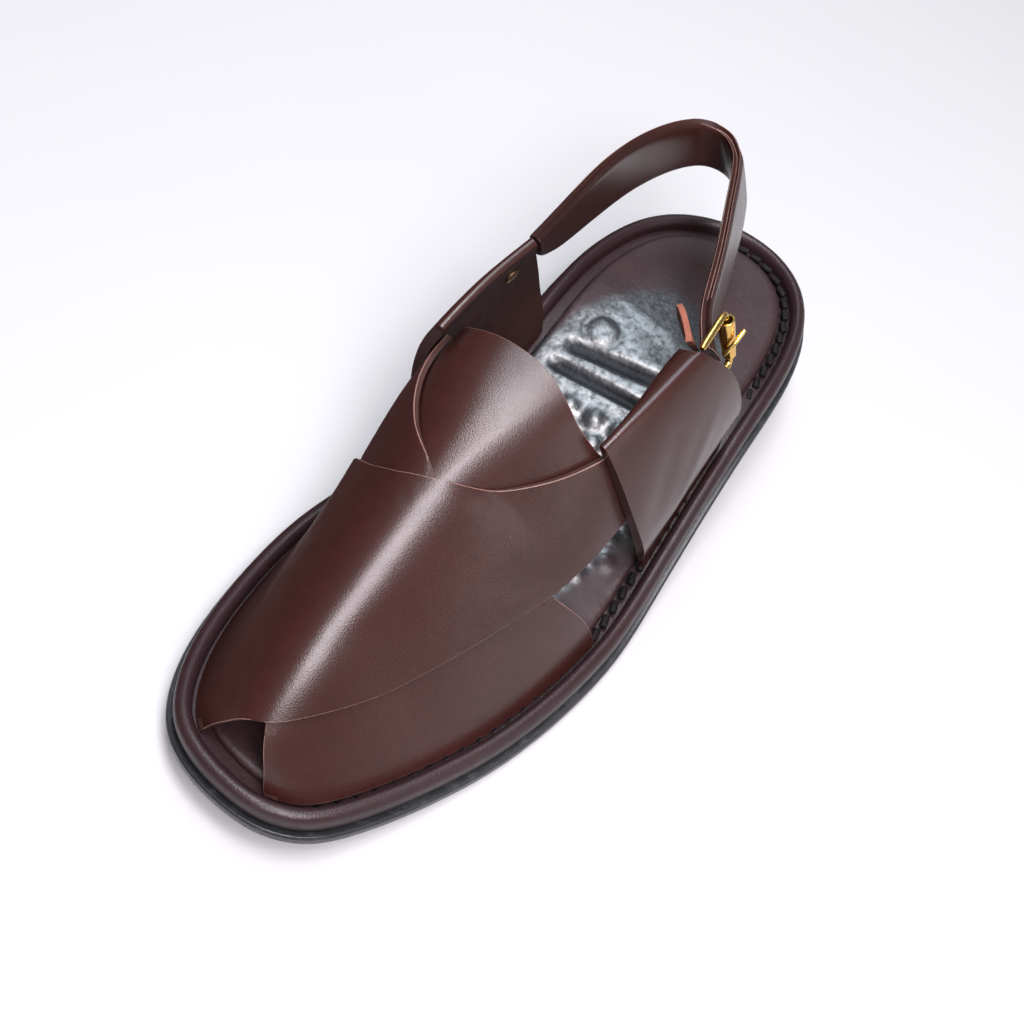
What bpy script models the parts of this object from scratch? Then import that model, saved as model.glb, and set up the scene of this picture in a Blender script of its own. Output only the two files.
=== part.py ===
"""Peshawari chappal, the left shoe of a pair, as an assembly of separate sub-parts.

Lengths in the tables are millimetres and are turned into metres where a mesh is made.
The toe points to -Y, the heel to +Y, the outer (little toe) side to +X and up is +Z.
The shoe stands on Z = 0, on a flat spot under the ball of the foot and on its heel block.
"""

import math

import bmesh
import bpy
import numpy as np

MM = 0.001
GAP = 0.3

# Main sizes. The tables below are drawn for them, and a new length or width stretches the shoe.
SOLE_LENGTH = 295.0
SOLE_WIDTH = 109.5

# Outline of the outsole, from toe to heel: a row pairs a medial point with a lateral one.
# Columns: medial x, medial y, lateral x, lateral y.
OUTLINE_ROWS = (
    (2.0, -147.5, 2.0, -147.5),
    (-11.0, -146.0, 15.0, -146.3),
    (-22.0, -141.5, 26.0, -141.0),
    (-30.0, -134.0, 34.0, -132.0),
    (-37.0, -122.5, 42.0, -116.0),
    (-43.0, -106.0, 49.0, -98.0),
    (-47.5, -82.0, 55.5, -77.0),
    (-48.5, -57.0, 60.0, -50.0),
    (-44.5, -28.0, 61.0, -22.0),
    (-41.5, 3.0, 57.5, 5.0),
    (-41.0, 35.0, 53.5, 34.0),
    (-43.5, 66.0, 50.0, 64.0),
    (-44.5, 92.0, 47.0, 92.0),
    (-40.5, 116.0, 41.0, 117.0),
    (-31.0, 133.0, 31.0, 134.5),
    (-16.0, 144.0, 17.0, 144.5),
    (1.0, 147.5, 1.0, 147.5),
)
LAST_STATION = len(OUTLINE_ROWS) - 1
STATION_STEPS = 32
OUTLINE_STEP = 0.02

# Toe spring and the rise to the heel, measured under the outsole.
TOE_SPRING = 9.6
TOE_SPRING_START = -64.0
TOE_END = -147.5
HEEL_RISE = 23.0
HEEL_RISE_START = -26.0
HEEL_RISE_END = 80.0

# Steps of each sole layer. Columns: inset from the outline, height over the outsole's underside.
OUTSOLE_STEPS = ((1.2, 0.0), (0.0, 0.9), (0.0, 3.6), (0.6, 4.5))
MIDSOLE_STEPS = (
    (3.0, 4.8), (2.1, 5.5), (1.9, 8.6), (2.3, 11.0), (3.5, 12.5), (5.2, 13.0),
    (6.3, 12.6), (7.2, 11.4), (7.6, 10.0), (7.6, 8.0),
)
INSOLE_STEPS = ((12.0, 8.3), (11.6, 8.8), (12.2, 10.2), (13.3, 10.9), (16.0, 10.8))

HEEL_BLOCK_FRONT = 61.0
HEEL_BLOCK_HOLLOW = 4.0
HEEL_BLOCK_STEPS = 12
HEEL_FRONT_STEPS = 8
HEEL_SEARCH_START = 9.0
HEEL_SEARCH_STEPS = 40
# Columns: inset from the outline, height over the floor. The top ring follows the outsole.
HEEL_BLOCK_WALL = ((2.4, 0.0), (1.6, 0.8), (1.0, 12.0))
HEEL_BLOCK_TOP_INSET = 0.8

# The last over the foot, a row for each outline row from the toe to behind the instep.
# Columns: ridge x, ridge y, ridge height, fullness of the section (2 is an ellipse), then how
# far the medial and the lateral side are pulled straight, from 0 to 1.
LAST_ROWS = (
    (2.0, -136.5, 23.0, 2.0, 1.00, 1.00),
    (2.0, -136.0, 27.0, 2.1, 1.00, 1.00),
    (1.0, -132.0, 32.5, 2.2, 1.00, 1.00),
    (0.0, -125.0, 38.0, 2.3, 1.00, 1.00),
    (-1.0, -113.0, 45.5, 2.35, 1.00, 1.00),
    (-2.5, -97.0, 54.0, 2.4, 1.00, 1.00),
    (-4.5, -76.0, 65.5, 2.5, 1.00, 0.92),
    (-5.5, -52.0, 77.5, 2.7, 0.82, 0.80),
    (-6.0, -25.0, 87.5, 3.0, 0.27, 0.48),
    (-5.0, 3.0, 94.0, 3.1, 0.00, 0.22),
    (-4.0, 33.0, 99.0, 2.9, 0.00, 0.05),
    (-3.0, 64.0, 102.0, 2.7, 0.00, 0.00),
)
RIDGE_ROUNDING = 0.35
LAST_STEP = 0.001
FEATHER_INSET = 10.1
FEATHER_HEIGHT = 9.0

LEATHER = 1.8
STEP_LEATHER = 1.8

# Crossed straps. A row is a cut across the outer strap, from the inner edge of the sole by the
# toe to the end under the lateral quarter. Columns: station and girth share of the front edge,
# then of the rear edge. The girth share runs from 0 at the medial feather line to 1 at the
# lateral one.
STRAP_ROWS = (
    (1.60, 0.000, 7.45, 0.000),
    (1.88, 0.150, 7.42, 0.080),
    (2.14, 0.340, 7.32, 0.160),
    (2.64, 0.542, 7.03, 0.252),
    (3.55, 0.668, 6.80, 0.335),
    (4.56, 0.754, 6.68, 0.420),
    (5.52, 0.798, 6.70, 0.472),
    (6.40, 0.827, 6.79, 0.522),
    (7.27, 0.852, 7.00, 0.590),
    (7.55, 0.857, 7.22, 0.636),
    (7.84, 0.862, 7.58, 0.678),
    (8.15, 0.868, 7.98, 0.712),
    (8.75, 0.880, 8.65, 0.752),
)
STRAP_SPLIT = 3
STRAP_ACROSS = 12
# Rows of the outer strap where the under strap comes out, in front and behind.
TOE_FLAP_SPAN = (3, 8)
BACK_FLAP_SPAN = (2, 7)
# Rows over which the outer strap thickens to two leathers and thins again.
STEP_LEAD = 1.2
STEP_FADE_ROWS = 2.0
MEDIAL_END_STEP = 0.15
# The lateral toe flap's own edges, from the outer strap down to the feather line.
TOE_FLAP_FRONT = ((1.80, 0.645), (1.08, 0.880), (0.95, 1.000))
TOE_FLAP_REAR = ((7.42, 0.895), (7.66, 0.955), (7.80, 1.000))
TOE_FLAP_ACROSS = 7
# The medial back flap's own edges, from the outer strap to the end under the medial quarter.
BACK_FLAP_LOWER = ((7.72, 0.130), (8.20, 0.115), (8.68, 0.105))
BACK_FLAP_UPPER = ((7.25, 0.392), (7.85, 0.300), (8.68, 0.205))
BACK_FLAP_ACROSS = 9

# Tongue. Columns: girth share, station of its hidden front edge, station of its rear edge.
TONGUE_ROWS = (
    (0.235, 7.95, 8.72),
    (0.285, 7.65, 8.62),
    (0.340, 7.35, 8.53),
    (0.395, 7.05, 8.48),
    (0.450, 6.78, 8.46),
    (0.500, 6.45, 8.45),
    (0.550, 6.45, 8.37),
    (0.605, 6.70, 8.31),
    (0.660, 7.05, 8.28),
    (0.710, 7.50, 8.34),
    (0.745, 7.85, 8.42),
    (0.780, 8.00, 8.60),
)
TONGUE_OUTER = -0.7
TONGUE_INNER = -2.3
TONGUE_ACROSS = 8
TONGUE_SPLIT = 2

# Quarters: a row for each height, from the feather line to the folded top.
# Columns: station and girth share of the front edge, then of the rear edge.
LATERAL_QUARTER_ROWS = (
    (9.00, 1.000, 10.70, 1.000),
    (8.70, 0.950, 10.62, 0.935),
    (8.50, 0.870, 10.42, 0.850),
    (8.40, 0.790, 10.18, 0.785),
    (8.34, 0.708, 9.90, 0.722),
)
MEDIAL_QUARTER_ROWS = (
    (8.60, 0.000, 10.45, 0.000),
    (8.52, 0.060, 10.35, 0.065),
    (8.47, 0.130, 10.15, 0.140),
    (8.45, 0.205, 9.95, 0.210),
    (8.45, 0.272, 9.80, 0.270),
)
QUARTER_SPLIT_UP = 3
QUARTER_ALONG = 10
QUARTER_STANDOFF = 2.5
QUARTER_RISE_START = 7.0
QUARTER_RISE_END = 26.0
QUARTER_BASE_WALL = 1.8
QUARTER_TOP_WALL = 3.8
QUARTER_GRADING = 1.3
FOLD_STEPS = 4
FOLD_RISE = 2.2
# Extra width of the lateral quarter's fold at its rear end, where the strap goes in, and the
# share of the rise above which the fold swells.
LATERAL_SWELL = 6.5
SWELL_START = 0.6

# Back strap, round the heel from the medial quarter to the buckle. Slack leather: the loop's top
# leans to the medial side. Columns: top edge x, y, z, then how far the bottom edge lies in x and
# y from the top one, then the strap's height.
BACK_STRAP_ROWS = (
    (-35.8, 30.0, 86.0, -1.5, 8.2, 15.0),
    (-38.0, 50.0, 86.0, 0.5, 2.0, 20.0),
    (-41.0, 75.0, 84.5, 2.5, 1.0, 22.0),
    (-41.5, 98.0, 82.0, 3.0, 1.5, 22.0),
    (-38.5, 117.0, 80.0, 3.5, 3.0, 21.0),
    (-32.5, 128.0, 79.5, 4.5, 5.0, 20.0),
    (-24.0, 130.5, 79.5, 5.5, 6.0, 20.0),
    (-15.5, 125.0, 80.0, 6.5, 6.5, 21.0),
    (-9.0, 113.0, 81.5, 7.0, 6.5, 22.0),
    (-2.0, 97.0, 83.5, 7.0, 5.5, 22.0),
    (6.0, 79.0, 85.5, 6.5, 4.0, 22.0),
    (12.4, 63.5, 86.5, 6.0, 3.0, 21.0),
    (17.4, 51.0, 86.5, 5.5, 2.5, 18.5),
    (21.4, 43.8, 85.7, 4.8, 3.5, 15.0),
    (25.0, 39.2, 84.6, 3.6, 5.5, 12.5),
    (27.6, 35.8, 83.2, 3.0, 8.6, 11.0),
)
STRAP_LOOP_CENTRE = (-14.0, 62.0)
BACK_STRAP_SPLIT = 3
BACK_STRAP_HALF = 2.1
BACK_STRAP_STEP = 0.05
# Section of the strap. Columns: share of half the thickness, share of the height from the top.
BACK_STRAP_SECTION = (
    (0.6, 1.00), (1.0, 0.95), (1.0, 0.62), (1.0, 0.30), (1.0, 0.08), (0.55, 0.0),
    (0.0, 0.06),
    (-0.55, 0.0), (-1.0, 0.08), (-1.0, 0.30), (-1.0, 0.62), (-1.0, 0.95), (-0.6, 1.00),
)

# Strap end: tan flap that comes out of the lateral quarter's fold, inside the back strap.
# Columns: top edge x, y, z, how far the bottom edge lies in x and y from it, and the height.
TAB_ROWS = (
    (22.2, 34.3, 83.0, 1.6, 9.0, 11.0),
    (20.9, 36.4, 82.8, 1.7, 8.4, 12.0),
    (19.0, 38.8, 82.5, 1.8, 7.4, 12.8),
    (16.7, 41.4, 82.2, 2.0, 6.4, 13.0),
    (14.2, 44.1, 82.0, 2.2, 5.2, 12.6),
    (11.9, 46.6, 81.0, 2.0, 3.6, 9.8),
    (10.4, 48.3, 79.6, 1.4, 2.2, 6.4),
)
TAB_THICKNESS = 2.0

# Buckle on the outer face of the strap, between the lateral quarter and the roller.
BUCKLE_ROD = 1.3
BUCKLE_BEND = 2.2
BUCKLE_ROLLER_RADII = (3.0, 2.3)
BUCKLE_ROLLER_BORES = (2.2, 1.6)
BUCKLE_TOP_START = (28.1, 30.6, 87.6)
BUCKLE_TOP_CORNER = (25.5, 47.4, 89.0)
BUCKLE_LOW_CORNER = (33.2, 50.0, 70.0)
BUCKLE_LOW_START = (34.2, 43.2, 68.0)
ROLLER_END_SHARE = 0.14
PRONG_RADIUS = 0.85
PRONG_POINTS = ((31.5, 44.5, 76.2), (32.7, 46.0, 80.0), (32.7, 51.0, 84.4))
ROUND_SIDES = 10
TUBE_SIDES = 16
BEND_STEPS = 3
BEND_LIMIT = 0.45
# Rod ends: share of the last stretch that is softened, and the end face's share of the radius.
ROD_END_STRETCH = 0.08
ROD_END_FACE = 0.7

# Rivet on the inner face of the medial quarter.
RIVET_PLACE = (9.62, 0.195)
RIVET_RADIUS = 2.8
RIVET_HEIGHT = 1.0
RIVET_CROWN = 0.6
RIVET_SIDES = 16


def shoe_smooth(share):
    """Ease a share between 0 and 1 with flat ends."""
    share = min(max(share, 0.0), 1.0)
    return share * share * (3.0 - 2.0 * share)


def spline(points, place, closed=False):
    """Point on a Catmull-Rom curve at a place counted in rows."""
    count = len(points)
    if closed:
        index = math.floor(place)
        share = place - index
        before, start, end, after = (points[(index + k - 1) % count] for k in range(4))
    else:
        index = min(max(int(math.floor(place)), 0), count - 2)
        share = place - index
        start, end = points[index], points[index + 1]
        before = points[index - 1] if index > 0 else 2.0 * start - end
        after = points[index + 2] if index + 2 < count else 2.0 * end - start
    return 0.5 * (
        2.0 * start
        + (end - before) * share
        + (2.0 * before - 5.0 * start + 4.0 * end - after) * share ** 2
        + (3.0 * start - before - 3.0 * end + after) * share ** 3
    )


def rows_of(table):
    """A table's rows as arrays, so that they can be mixed."""
    return [np.array(row, dtype=float) for row in table]


def closed_outline():
    """The outline's points in one loop: toe, lateral side, heel, medial side."""
    lateral = [np.array(row[2:4]) for row in OUTLINE_ROWS]
    medial = [np.array(row[0:2]) for row in OUTLINE_ROWS[1:-1]]
    return lateral + medial[::-1]


OUTLINE_LOOP = closed_outline()


def outline_point(place, inset):
    """Point of the outline, moved inwards, at a place along the closed loop."""
    point = spline(OUTLINE_LOOP, place, closed=True)
    ahead = spline(OUTLINE_LOOP, place + OUTLINE_STEP, closed=True)
    behind = spline(OUTLINE_LOOP, place - OUTLINE_STEP, closed=True)
    along = (ahead - behind) / np.linalg.norm(ahead - behind)
    return point - inset * np.array([along[1], -along[0]])


def side_point(station, inset, lateral):
    """Point of the outline on one side of the shoe at a station."""
    place = station if lateral else len(OUTLINE_LOOP) - station
    return outline_point(place, inset)


def lift(y):
    """Height of the outsole's underside: toe spring in front, the rise to the heel behind."""
    spring = max(0.0, (TOE_SPRING_START - y) / (TOE_SPRING_START - TOE_END))
    rise = shoe_smooth((y - HEEL_RISE_START) / (HEEL_RISE_END - HEEL_RISE_START))
    return TOE_SPRING * spring ** 2 + HEEL_RISE * rise


def sole_ring(inset, height):
    """One ring of a sole layer, toe first and then round by the lateral side."""
    ring = []
    for step in range(2 * STATION_STEPS):
        x, y = outline_point(step * LAST_STATION / STATION_STEPS, inset)
        ring.append((x, y, lift(y) + height))
    return ring


SOLE_PLAN = np.array(sole_ring(0.0, 0.0))[:, 0:2]
SHOE_CENTRE = 0.5 * (SOLE_PLAN.max(axis=0) + SOLE_PLAN.min(axis=0))
SHOE_STRETCH = np.array([SOLE_WIDTH, SOLE_LENGTH]) / (SOLE_PLAN.max(axis=0) - SOLE_PLAN.min(axis=0))


def placed(point):
    """Millimetres in the shoe's drawing to metres, centred over the sole and at its main sizes."""
    x, y = (np.array(point[0:2]) - SHOE_CENTRE) * SHOE_STRETCH
    return (x * MM, y * MM, point[2] * MM)


def make_material(name, colour, roughness, metallic=0.0):
    """A plain material with the part's own colour."""
    material = bpy.data.materials.new(name)
    material.use_nodes = True
    shader = material.node_tree.nodes["Principled BSDF"]
    shader.inputs["Base Color"].default_value = (*colour, 1.0)
    shader.inputs["Roughness"].default_value = roughness
    shader.inputs["Metallic"].default_value = metallic
    material.diffuse_color = (*colour, 1.0)
    return material


def make_object(name, points, faces, material, sharp_degrees=40.0):
    """Mesh object from millimetre points and faces given as index tuples."""
    mesh = bpy.data.meshes.new(name)
    builder = bmesh.new()
    vertices = [builder.verts.new(placed(point)) for point in points]
    for face in faces:
        builder.faces.new([vertices[index] for index in face])
    bmesh.ops.recalc_face_normals(builder, faces=builder.faces)
    builder.to_mesh(mesh)
    builder.free()
    mesh.materials.append(material)
    mesh.shade_smooth()
    mesh.set_sharp_from_angle(angle=math.radians(sharp_degrees))
    part = bpy.data.objects.new(name, mesh)
    bpy.context.collection.objects.link(part)
    return part


def loft_faces(ring_count, ring_size, closed_stack=False):
    """Quads between rings that follow each other."""
    faces = []
    stacks = ring_count if closed_stack else ring_count - 1
    for stack in range(stacks):
        low = stack * ring_size
        high = ((stack + 1) % ring_count) * ring_size
        for index in range(ring_size):
            after = (index + 1) % ring_size
            faces.append((low + index, low + after, high + after, high + index))
    return faces


def strip_cap(start, ring_size):
    """Close a ring whose two halves face each other with a ladder of quads."""
    half = ring_size // 2
    faces = [(start, start + 1, start + ring_size - 1)]
    for index in range(1, half - 1):
        faces.append((
            start + index, start + index + 1,
            start + ring_size - index - 1, start + ring_size - index,
        ))
    faces.append((start + half - 1, start + half, start + half + 1))
    return faces


def make_lofted(name, rings, material, sharp_degrees=40.0):
    """Solid through a stack of rings, with both ends closed by ladders."""
    size = len(rings[0])
    points = [point for ring in rings for point in ring]
    faces = loft_faces(len(rings), size)
    faces += strip_cap(0, size)
    faces += strip_cap((len(rings) - 1) * size, size)
    return make_object(name, points, faces, material, sharp_degrees)


def build_outsole(material):
    """Black rubber sheet that shows as a step past the band."""
    rings = [sole_ring(inset, height) for inset, height in OUTSOLE_STEPS]
    return make_lofted("outsole", rings, material)


def build_midsole(material):
    """Leather-wrapped band, the bead that rises round the foot and the bed inside it."""
    rings = [sole_ring(inset, height) for inset, height in MIDSOLE_STEPS]
    return make_lofted("midsole", rings, material, 60.0)


def build_insole(material):
    """Padded bed, a shallow cup between the beads."""
    rings = [sole_ring(inset, height) for inset, height in INSOLE_STEPS]
    return make_lofted("insole", rings, material, 60.0)


def station_at(y, inset, lateral):
    """Station where one side of the inset outline crosses a given y."""
    low, high = HEEL_SEARCH_START, float(LAST_STATION)
    for _ in range(HEEL_SEARCH_STEPS):
        middle = 0.5 * (low + high)
        if side_point(middle, inset, lateral)[1] < y:
            low = middle
        else:
            high = middle
    return 0.5 * (low + high)


def heel_ring(inset, height):
    """Ring round the heel block; without a height it follows the outsole from below."""
    lateral_start = station_at(HEEL_BLOCK_FRONT, inset, True)
    medial_start = station_at(HEEL_BLOCK_FRONT, inset, False)
    plan = []
    for step in range(HEEL_BLOCK_STEPS + 1):
        share = step / HEEL_BLOCK_STEPS
        station = lateral_start + (LAST_STATION - lateral_start) * share
        plan.append(side_point(station, inset, True))
    for step in range(1, HEEL_BLOCK_STEPS + 1):
        share = 1.0 - step / HEEL_BLOCK_STEPS
        station = medial_start + (LAST_STATION - medial_start) * share
        plan.append(side_point(station, inset, False))
    lateral_corner, medial_corner = plan[0], plan[-1]
    for step in range(1, HEEL_FRONT_STEPS):
        share = step / HEEL_FRONT_STEPS
        point = medial_corner + (lateral_corner - medial_corner) * share
        hollow = HEEL_BLOCK_HOLLOW * math.sin(math.pi * share)
        plan.append(np.array([point[0], point[1] + hollow]))
    return [(x, y, lift(y) - GAP if height is None else height) for x, y in plan]


def build_heel_block(material):
    """Stacked heel under the rear, hollowed at its front."""
    rings = [heel_ring(inset, height) for inset, height in HEEL_BLOCK_WALL]
    rings.append(heel_ring(HEEL_BLOCK_TOP_INSET, None))
    size = len(rings[0])
    points = [point for ring in rings for point in ring]
    faces = loft_faces(len(rings), size)
    for start in (0, (len(rings) - 1) * size):
        faces += heel_cap(start, size)
    return make_object("heel_block", points, faces, material)


def heel_cap(start, size):
    """Close a heel ring: a ladder between its sides and a row of triangles at its front."""
    rear = HEEL_BLOCK_STEPS
    last = 2 * rear
    faces = []
    for index in range(rear - 1):
        near, far = start + index, start + last - index
        faces.append((near, near + 1, far - 1, far))
    faces.append((start + rear - 1, start + rear, start + rear + 1))
    front = [start + last + step for step in range(1, size - last)]
    faces.append(tuple([start, start + last] + front))
    return faces


def feather_point(station, lateral):
    """Where the last's inner surface meets the bed, in the channel beside the bead."""
    x, y = side_point(station, FEATHER_INSET, lateral)
    return np.array([x, y, lift(y) + FEATHER_HEIGHT])


LAST_TABLE = rows_of(LAST_ROWS)


def arch_shares(girth, fullness):
    """Across and up shares of a section that rises steeply from the feather line."""
    turn = math.pi * (1.0 - girth)
    across = math.copysign(abs(math.cos(turn)) ** (2.0 / fullness), math.cos(turn))
    return across, max(math.sin(turn), 0.0) ** (2.0 / fullness)


def tent_shares(girth):
    """Across and up shares of a section with straight sides and a rounded ridge."""
    across = 2.0 * girth - 1.0
    fall = math.hypot(across, RIDGE_ROUNDING) - RIDGE_ROUNDING
    return across, 1.0 - fall / (math.hypot(1.0, RIDGE_ROUNDING) - RIDGE_ROUNDING)


def last_point(station, girth):
    """Point of the last: station along the shoe, girth share from medial to lateral."""
    medial = feather_point(station, False)
    lateral = feather_point(station, True)
    ridge_x, ridge_y, ridge_z, fullness, medial_pull, lateral_pull = spline(LAST_TABLE, station)
    girth = min(max(girth, 0.0), 1.0)
    pull = medial_pull + (lateral_pull - medial_pull) * shoe_smooth(girth)
    pull = min(max(pull, 0.0), 1.0)
    arch = np.array(arch_shares(girth, fullness))
    tent = np.array(tent_shares(girth))
    across, up = arch * (1.0 - pull) + tent * pull
    centre = 0.5 * (medial + lateral)
    half = 0.5 * (lateral - medial)
    return centre + half * across + (np.array([ridge_x, ridge_y, ridge_z]) - centre) * up


def last_normal(station, girth):
    """Outward normal of the last."""
    along = last_point(station + LAST_STEP, girth) - last_point(station - LAST_STEP, girth)
    low, high = max(girth - LAST_STEP, 0.0), min(girth + LAST_STEP, 1.0)
    around = last_point(station, high) - last_point(station, low)
    normal = np.cross(around, along)
    return normal / np.linalg.norm(normal)


def over_last(station, girth, offset):
    """Point over the last at a distance from it."""
    return last_point(station, girth) + offset * last_normal(station, girth)


class Shell:
    """Leather wall over the last, whose patches share the points on common edges."""

    def __init__(self):
        self.points = []
        self.faces = []
        self.known = {}
        self.levels = {}

    def spot(self, place):
        """Key of a place on the last, the same for every patch that touches it."""
        return (round(float(place[0]), 6), round(float(place[1]), 6))

    def vertex(self, place, offset):
        """Index of the point over a place."""
        spot = self.spot(place)
        key = (spot, round(offset, 6))
        if key not in self.known:
            self.known[key] = len(self.points)
            self.points.append(over_last(spot[0], spot[1], offset))
            self.levels.setdefault(spot, set()).add(round(offset, 6))
        return self.known[key]

    def add_patch(self, grid, wall):
        """Inner and outer faces of a patch; wall(i, j) is its thickness at a grid point."""
        rows, columns = len(grid), len(grid[0])
        for level in (0, 1):
            index = [
                [self.vertex(grid[i][j], level * wall(i, j)) for j in range(columns)]
                for i in range(rows)
            ]
            for i in range(rows - 1):
                for j in range(columns - 1):
                    near, far = index[i], index[i + 1]
                    self.faces.append((near[j], far[j], far[j + 1], near[j + 1]))

    def add_wall(self, first, second, first_range, second_range):
        """Upright strip between two neighbouring edge places, over their given ranges."""
        up = [self.vertex(second, level) for level in self.between(second, second_range)]
        down = [self.vertex(first, level) for level in self.between(first, first_range)]
        ring = down + up[::-1]
        if len(set(ring)) > 2:
            self.faces.append(tuple(ring))

    def between(self, place, bounds):
        """Levels that exist over a place within the bounds, from low to high."""
        low, high = round(bounds[0], 6), round(bounds[1], 6)
        levels = sorted(level for level in self.levels[self.spot(place)] if low <= level <= high)
        return levels


def split_curve(points, splits):
    """Places along a curve through table points, with a number of splits per row."""
    total = (len(points) - 1) * splits
    return [spline(points, step / splits) for step in range(total + 1)]


def mixed_grid(starts, ends, across, first_side=None, last_side=None):
    """Grid between two edges. Side curves, where given, bend its first and last rows."""
    count = len(starts)
    grid = []
    for i in range(count):
        share_along = i / (count - 1)
        row = []
        for j in range(across + 1):
            share = j / across
            place = starts[i] * (1.0 - share) + ends[i] * share
            if first_side is not None:
                chord = starts[0] * (1.0 - share) + ends[0] * share
                place = place + (first_side[j] - chord) * (1.0 - share_along)
            if last_side is not None:
                chord = starts[-1] * (1.0 - share) + ends[-1] * share
                place = place + (last_side[j] - chord) * share_along
            row.append(place)
        grid.append(row)
    return grid


def resampled(points, count):
    """A curve through table points at evenly spaced places."""
    spans = len(points) - 1
    return [spline(points, spans * step / count) for step in range(count + 1)]


def strap_wall(i, j, rows):
    """Thickness of the outer strap: two leathers where it lies on the under strap."""
    row = i / STRAP_SPLIT
    mix = shoe_smooth(j / STRAP_ACROSS)
    front = shoe_smooth(row - TOE_FLAP_SPAN[0] + STEP_LEAD)
    front *= shoe_smooth((rows - 1 - row) / STEP_FADE_ROWS)
    rear = shoe_smooth(row - BACK_FLAP_SPAN[0] + STEP_LEAD)
    rear *= shoe_smooth((BACK_FLAP_SPAN[1] + STEP_FADE_ROWS - row) / STEP_FADE_ROWS)
    rear = max(rear, MEDIAL_END_STEP * shoe_smooth(row))
    return LEATHER + STEP_LEATHER * (front * (1.0 - mix) + rear * mix)


def build_upper(material):
    """The crossed straps as one hollow solid, with the outer strap as a step in its wall."""
    table = rows_of(STRAP_ROWS)
    fronts = split_curve([row[0:2] for row in table], STRAP_SPLIT)
    rears = split_curve([row[2:4] for row in table], STRAP_SPLIT)
    strap = mixed_grid(fronts, rears, STRAP_ACROSS)
    shell = Shell()

    def outer_wall(i, j):
        return strap_wall(i, j, len(table))

    def thin_wall(i, j):
        return LEATHER

    toe_first, toe_last = (round(row) * STRAP_SPLIT for row in TOE_FLAP_SPAN)
    edge = fronts[toe_first:toe_last + 1]
    front_side = resampled([edge[0]] + rows_of(TOE_FLAP_FRONT), TOE_FLAP_ACROSS)
    rear_side = resampled([edge[-1]] + rows_of(TOE_FLAP_REAR), TOE_FLAP_ACROSS)
    feather = resampled([front_side[-1], rear_side[-1]], len(edge) - 1)
    toe_flap = mixed_grid(edge, feather, TOE_FLAP_ACROSS, front_side, rear_side)

    back_first, back_last = (round(row) * STRAP_SPLIT for row in BACK_FLAP_SPAN)
    edge = rears[back_first:back_last + 1]
    lower_side = resampled([edge[0]] + rows_of(BACK_FLAP_LOWER), BACK_FLAP_ACROSS)
    upper_side = resampled([edge[-1]] + rows_of(BACK_FLAP_UPPER), BACK_FLAP_ACROSS)
    end = resampled([lower_side[-1], upper_side[-1]], len(edge) - 1)
    back_flap = mixed_grid(edge, end, BACK_FLAP_ACROSS, lower_side, upper_side)

    shell.add_patch(strap, outer_wall)
    shell.add_patch(toe_flap, thin_wall)
    shell.add_patch(back_flap, thin_wall)

    add_rims(shell, strap, outer_wall, toe_first, toe_last, 0)
    add_rims(shell, strap, outer_wall, back_first, back_last, STRAP_ACROSS)
    for i in (0, len(strap) - 1):
        for j in range(STRAP_ACROSS):
            bounds = (0.0, outer_wall(i, j)), (0.0, outer_wall(i, j + 1))
            shell.add_wall(strap[i][j], strap[i][j + 1], *bounds)
    for flap in (toe_flap, back_flap):
        add_flap_rims(shell, flap)
    return make_object("upper", shell.points, shell.faces, material, 35.0)


def add_rims(shell, strap, outer_wall, first, last, column):
    """Edge of the outer strap: a full wall, or only a step where a flap joins it."""
    for i in range(len(strap) - 1):
        low = LEATHER if first <= i < last else 0.0
        shell.add_wall(
            strap[i][column], strap[i + 1][column],
            (low, outer_wall(i, column)), (low, outer_wall(i + 1, column)),
        )


def add_flap_rims(shell, flap):
    """Free edges of a flap that joins the outer strap along its first column."""
    bounds = (0.0, LEATHER)
    for j in range(len(flap[0]) - 1):
        for row in (flap[0], flap[-1]):
            shell.add_wall(row[j], row[j + 1], bounds, bounds)
    for i in range(len(flap) - 1):
        shell.add_wall(flap[i][-1], flap[i + 1][-1], bounds, bounds)


def build_tongue(material):
    """Plain strap tip in the throat, inside the crossed straps."""
    table = split_curve(rows_of(TONGUE_ROWS), TONGUE_SPLIT)
    sections = []
    for girth, front, rear in table:
        stations = [front + (rear - front) * step / TONGUE_ACROSS for step in range(TONGUE_ACROSS + 1)]
        section = [over_last(station, girth, TONGUE_OUTER) for station in stations]
        section += [over_last(station, girth, TONGUE_INNER) for station in reversed(stations)]
        sections.append(section)
    return make_sheet("tongue", sections, material)


def make_sheet(name, sections, material, sharp_degrees=40.0):
    """Solid sheet from sections, each a loop whose second half returns along the first."""
    size = len(sections[0])
    points = [point for section in sections for point in section]
    faces = loft_faces(len(sections), size)
    for start in (0, (len(sections) - 1) * size):
        low, high = start, start + size - 1
        while high - low > 2:
            faces.append((low, low + 1, high - 1, high))
            low, high = low + 1, high - 1
        if high - low == 2:
            faces.append((low, low + 1, high))
    return make_object(name, points, faces, material, sharp_degrees)


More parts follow.
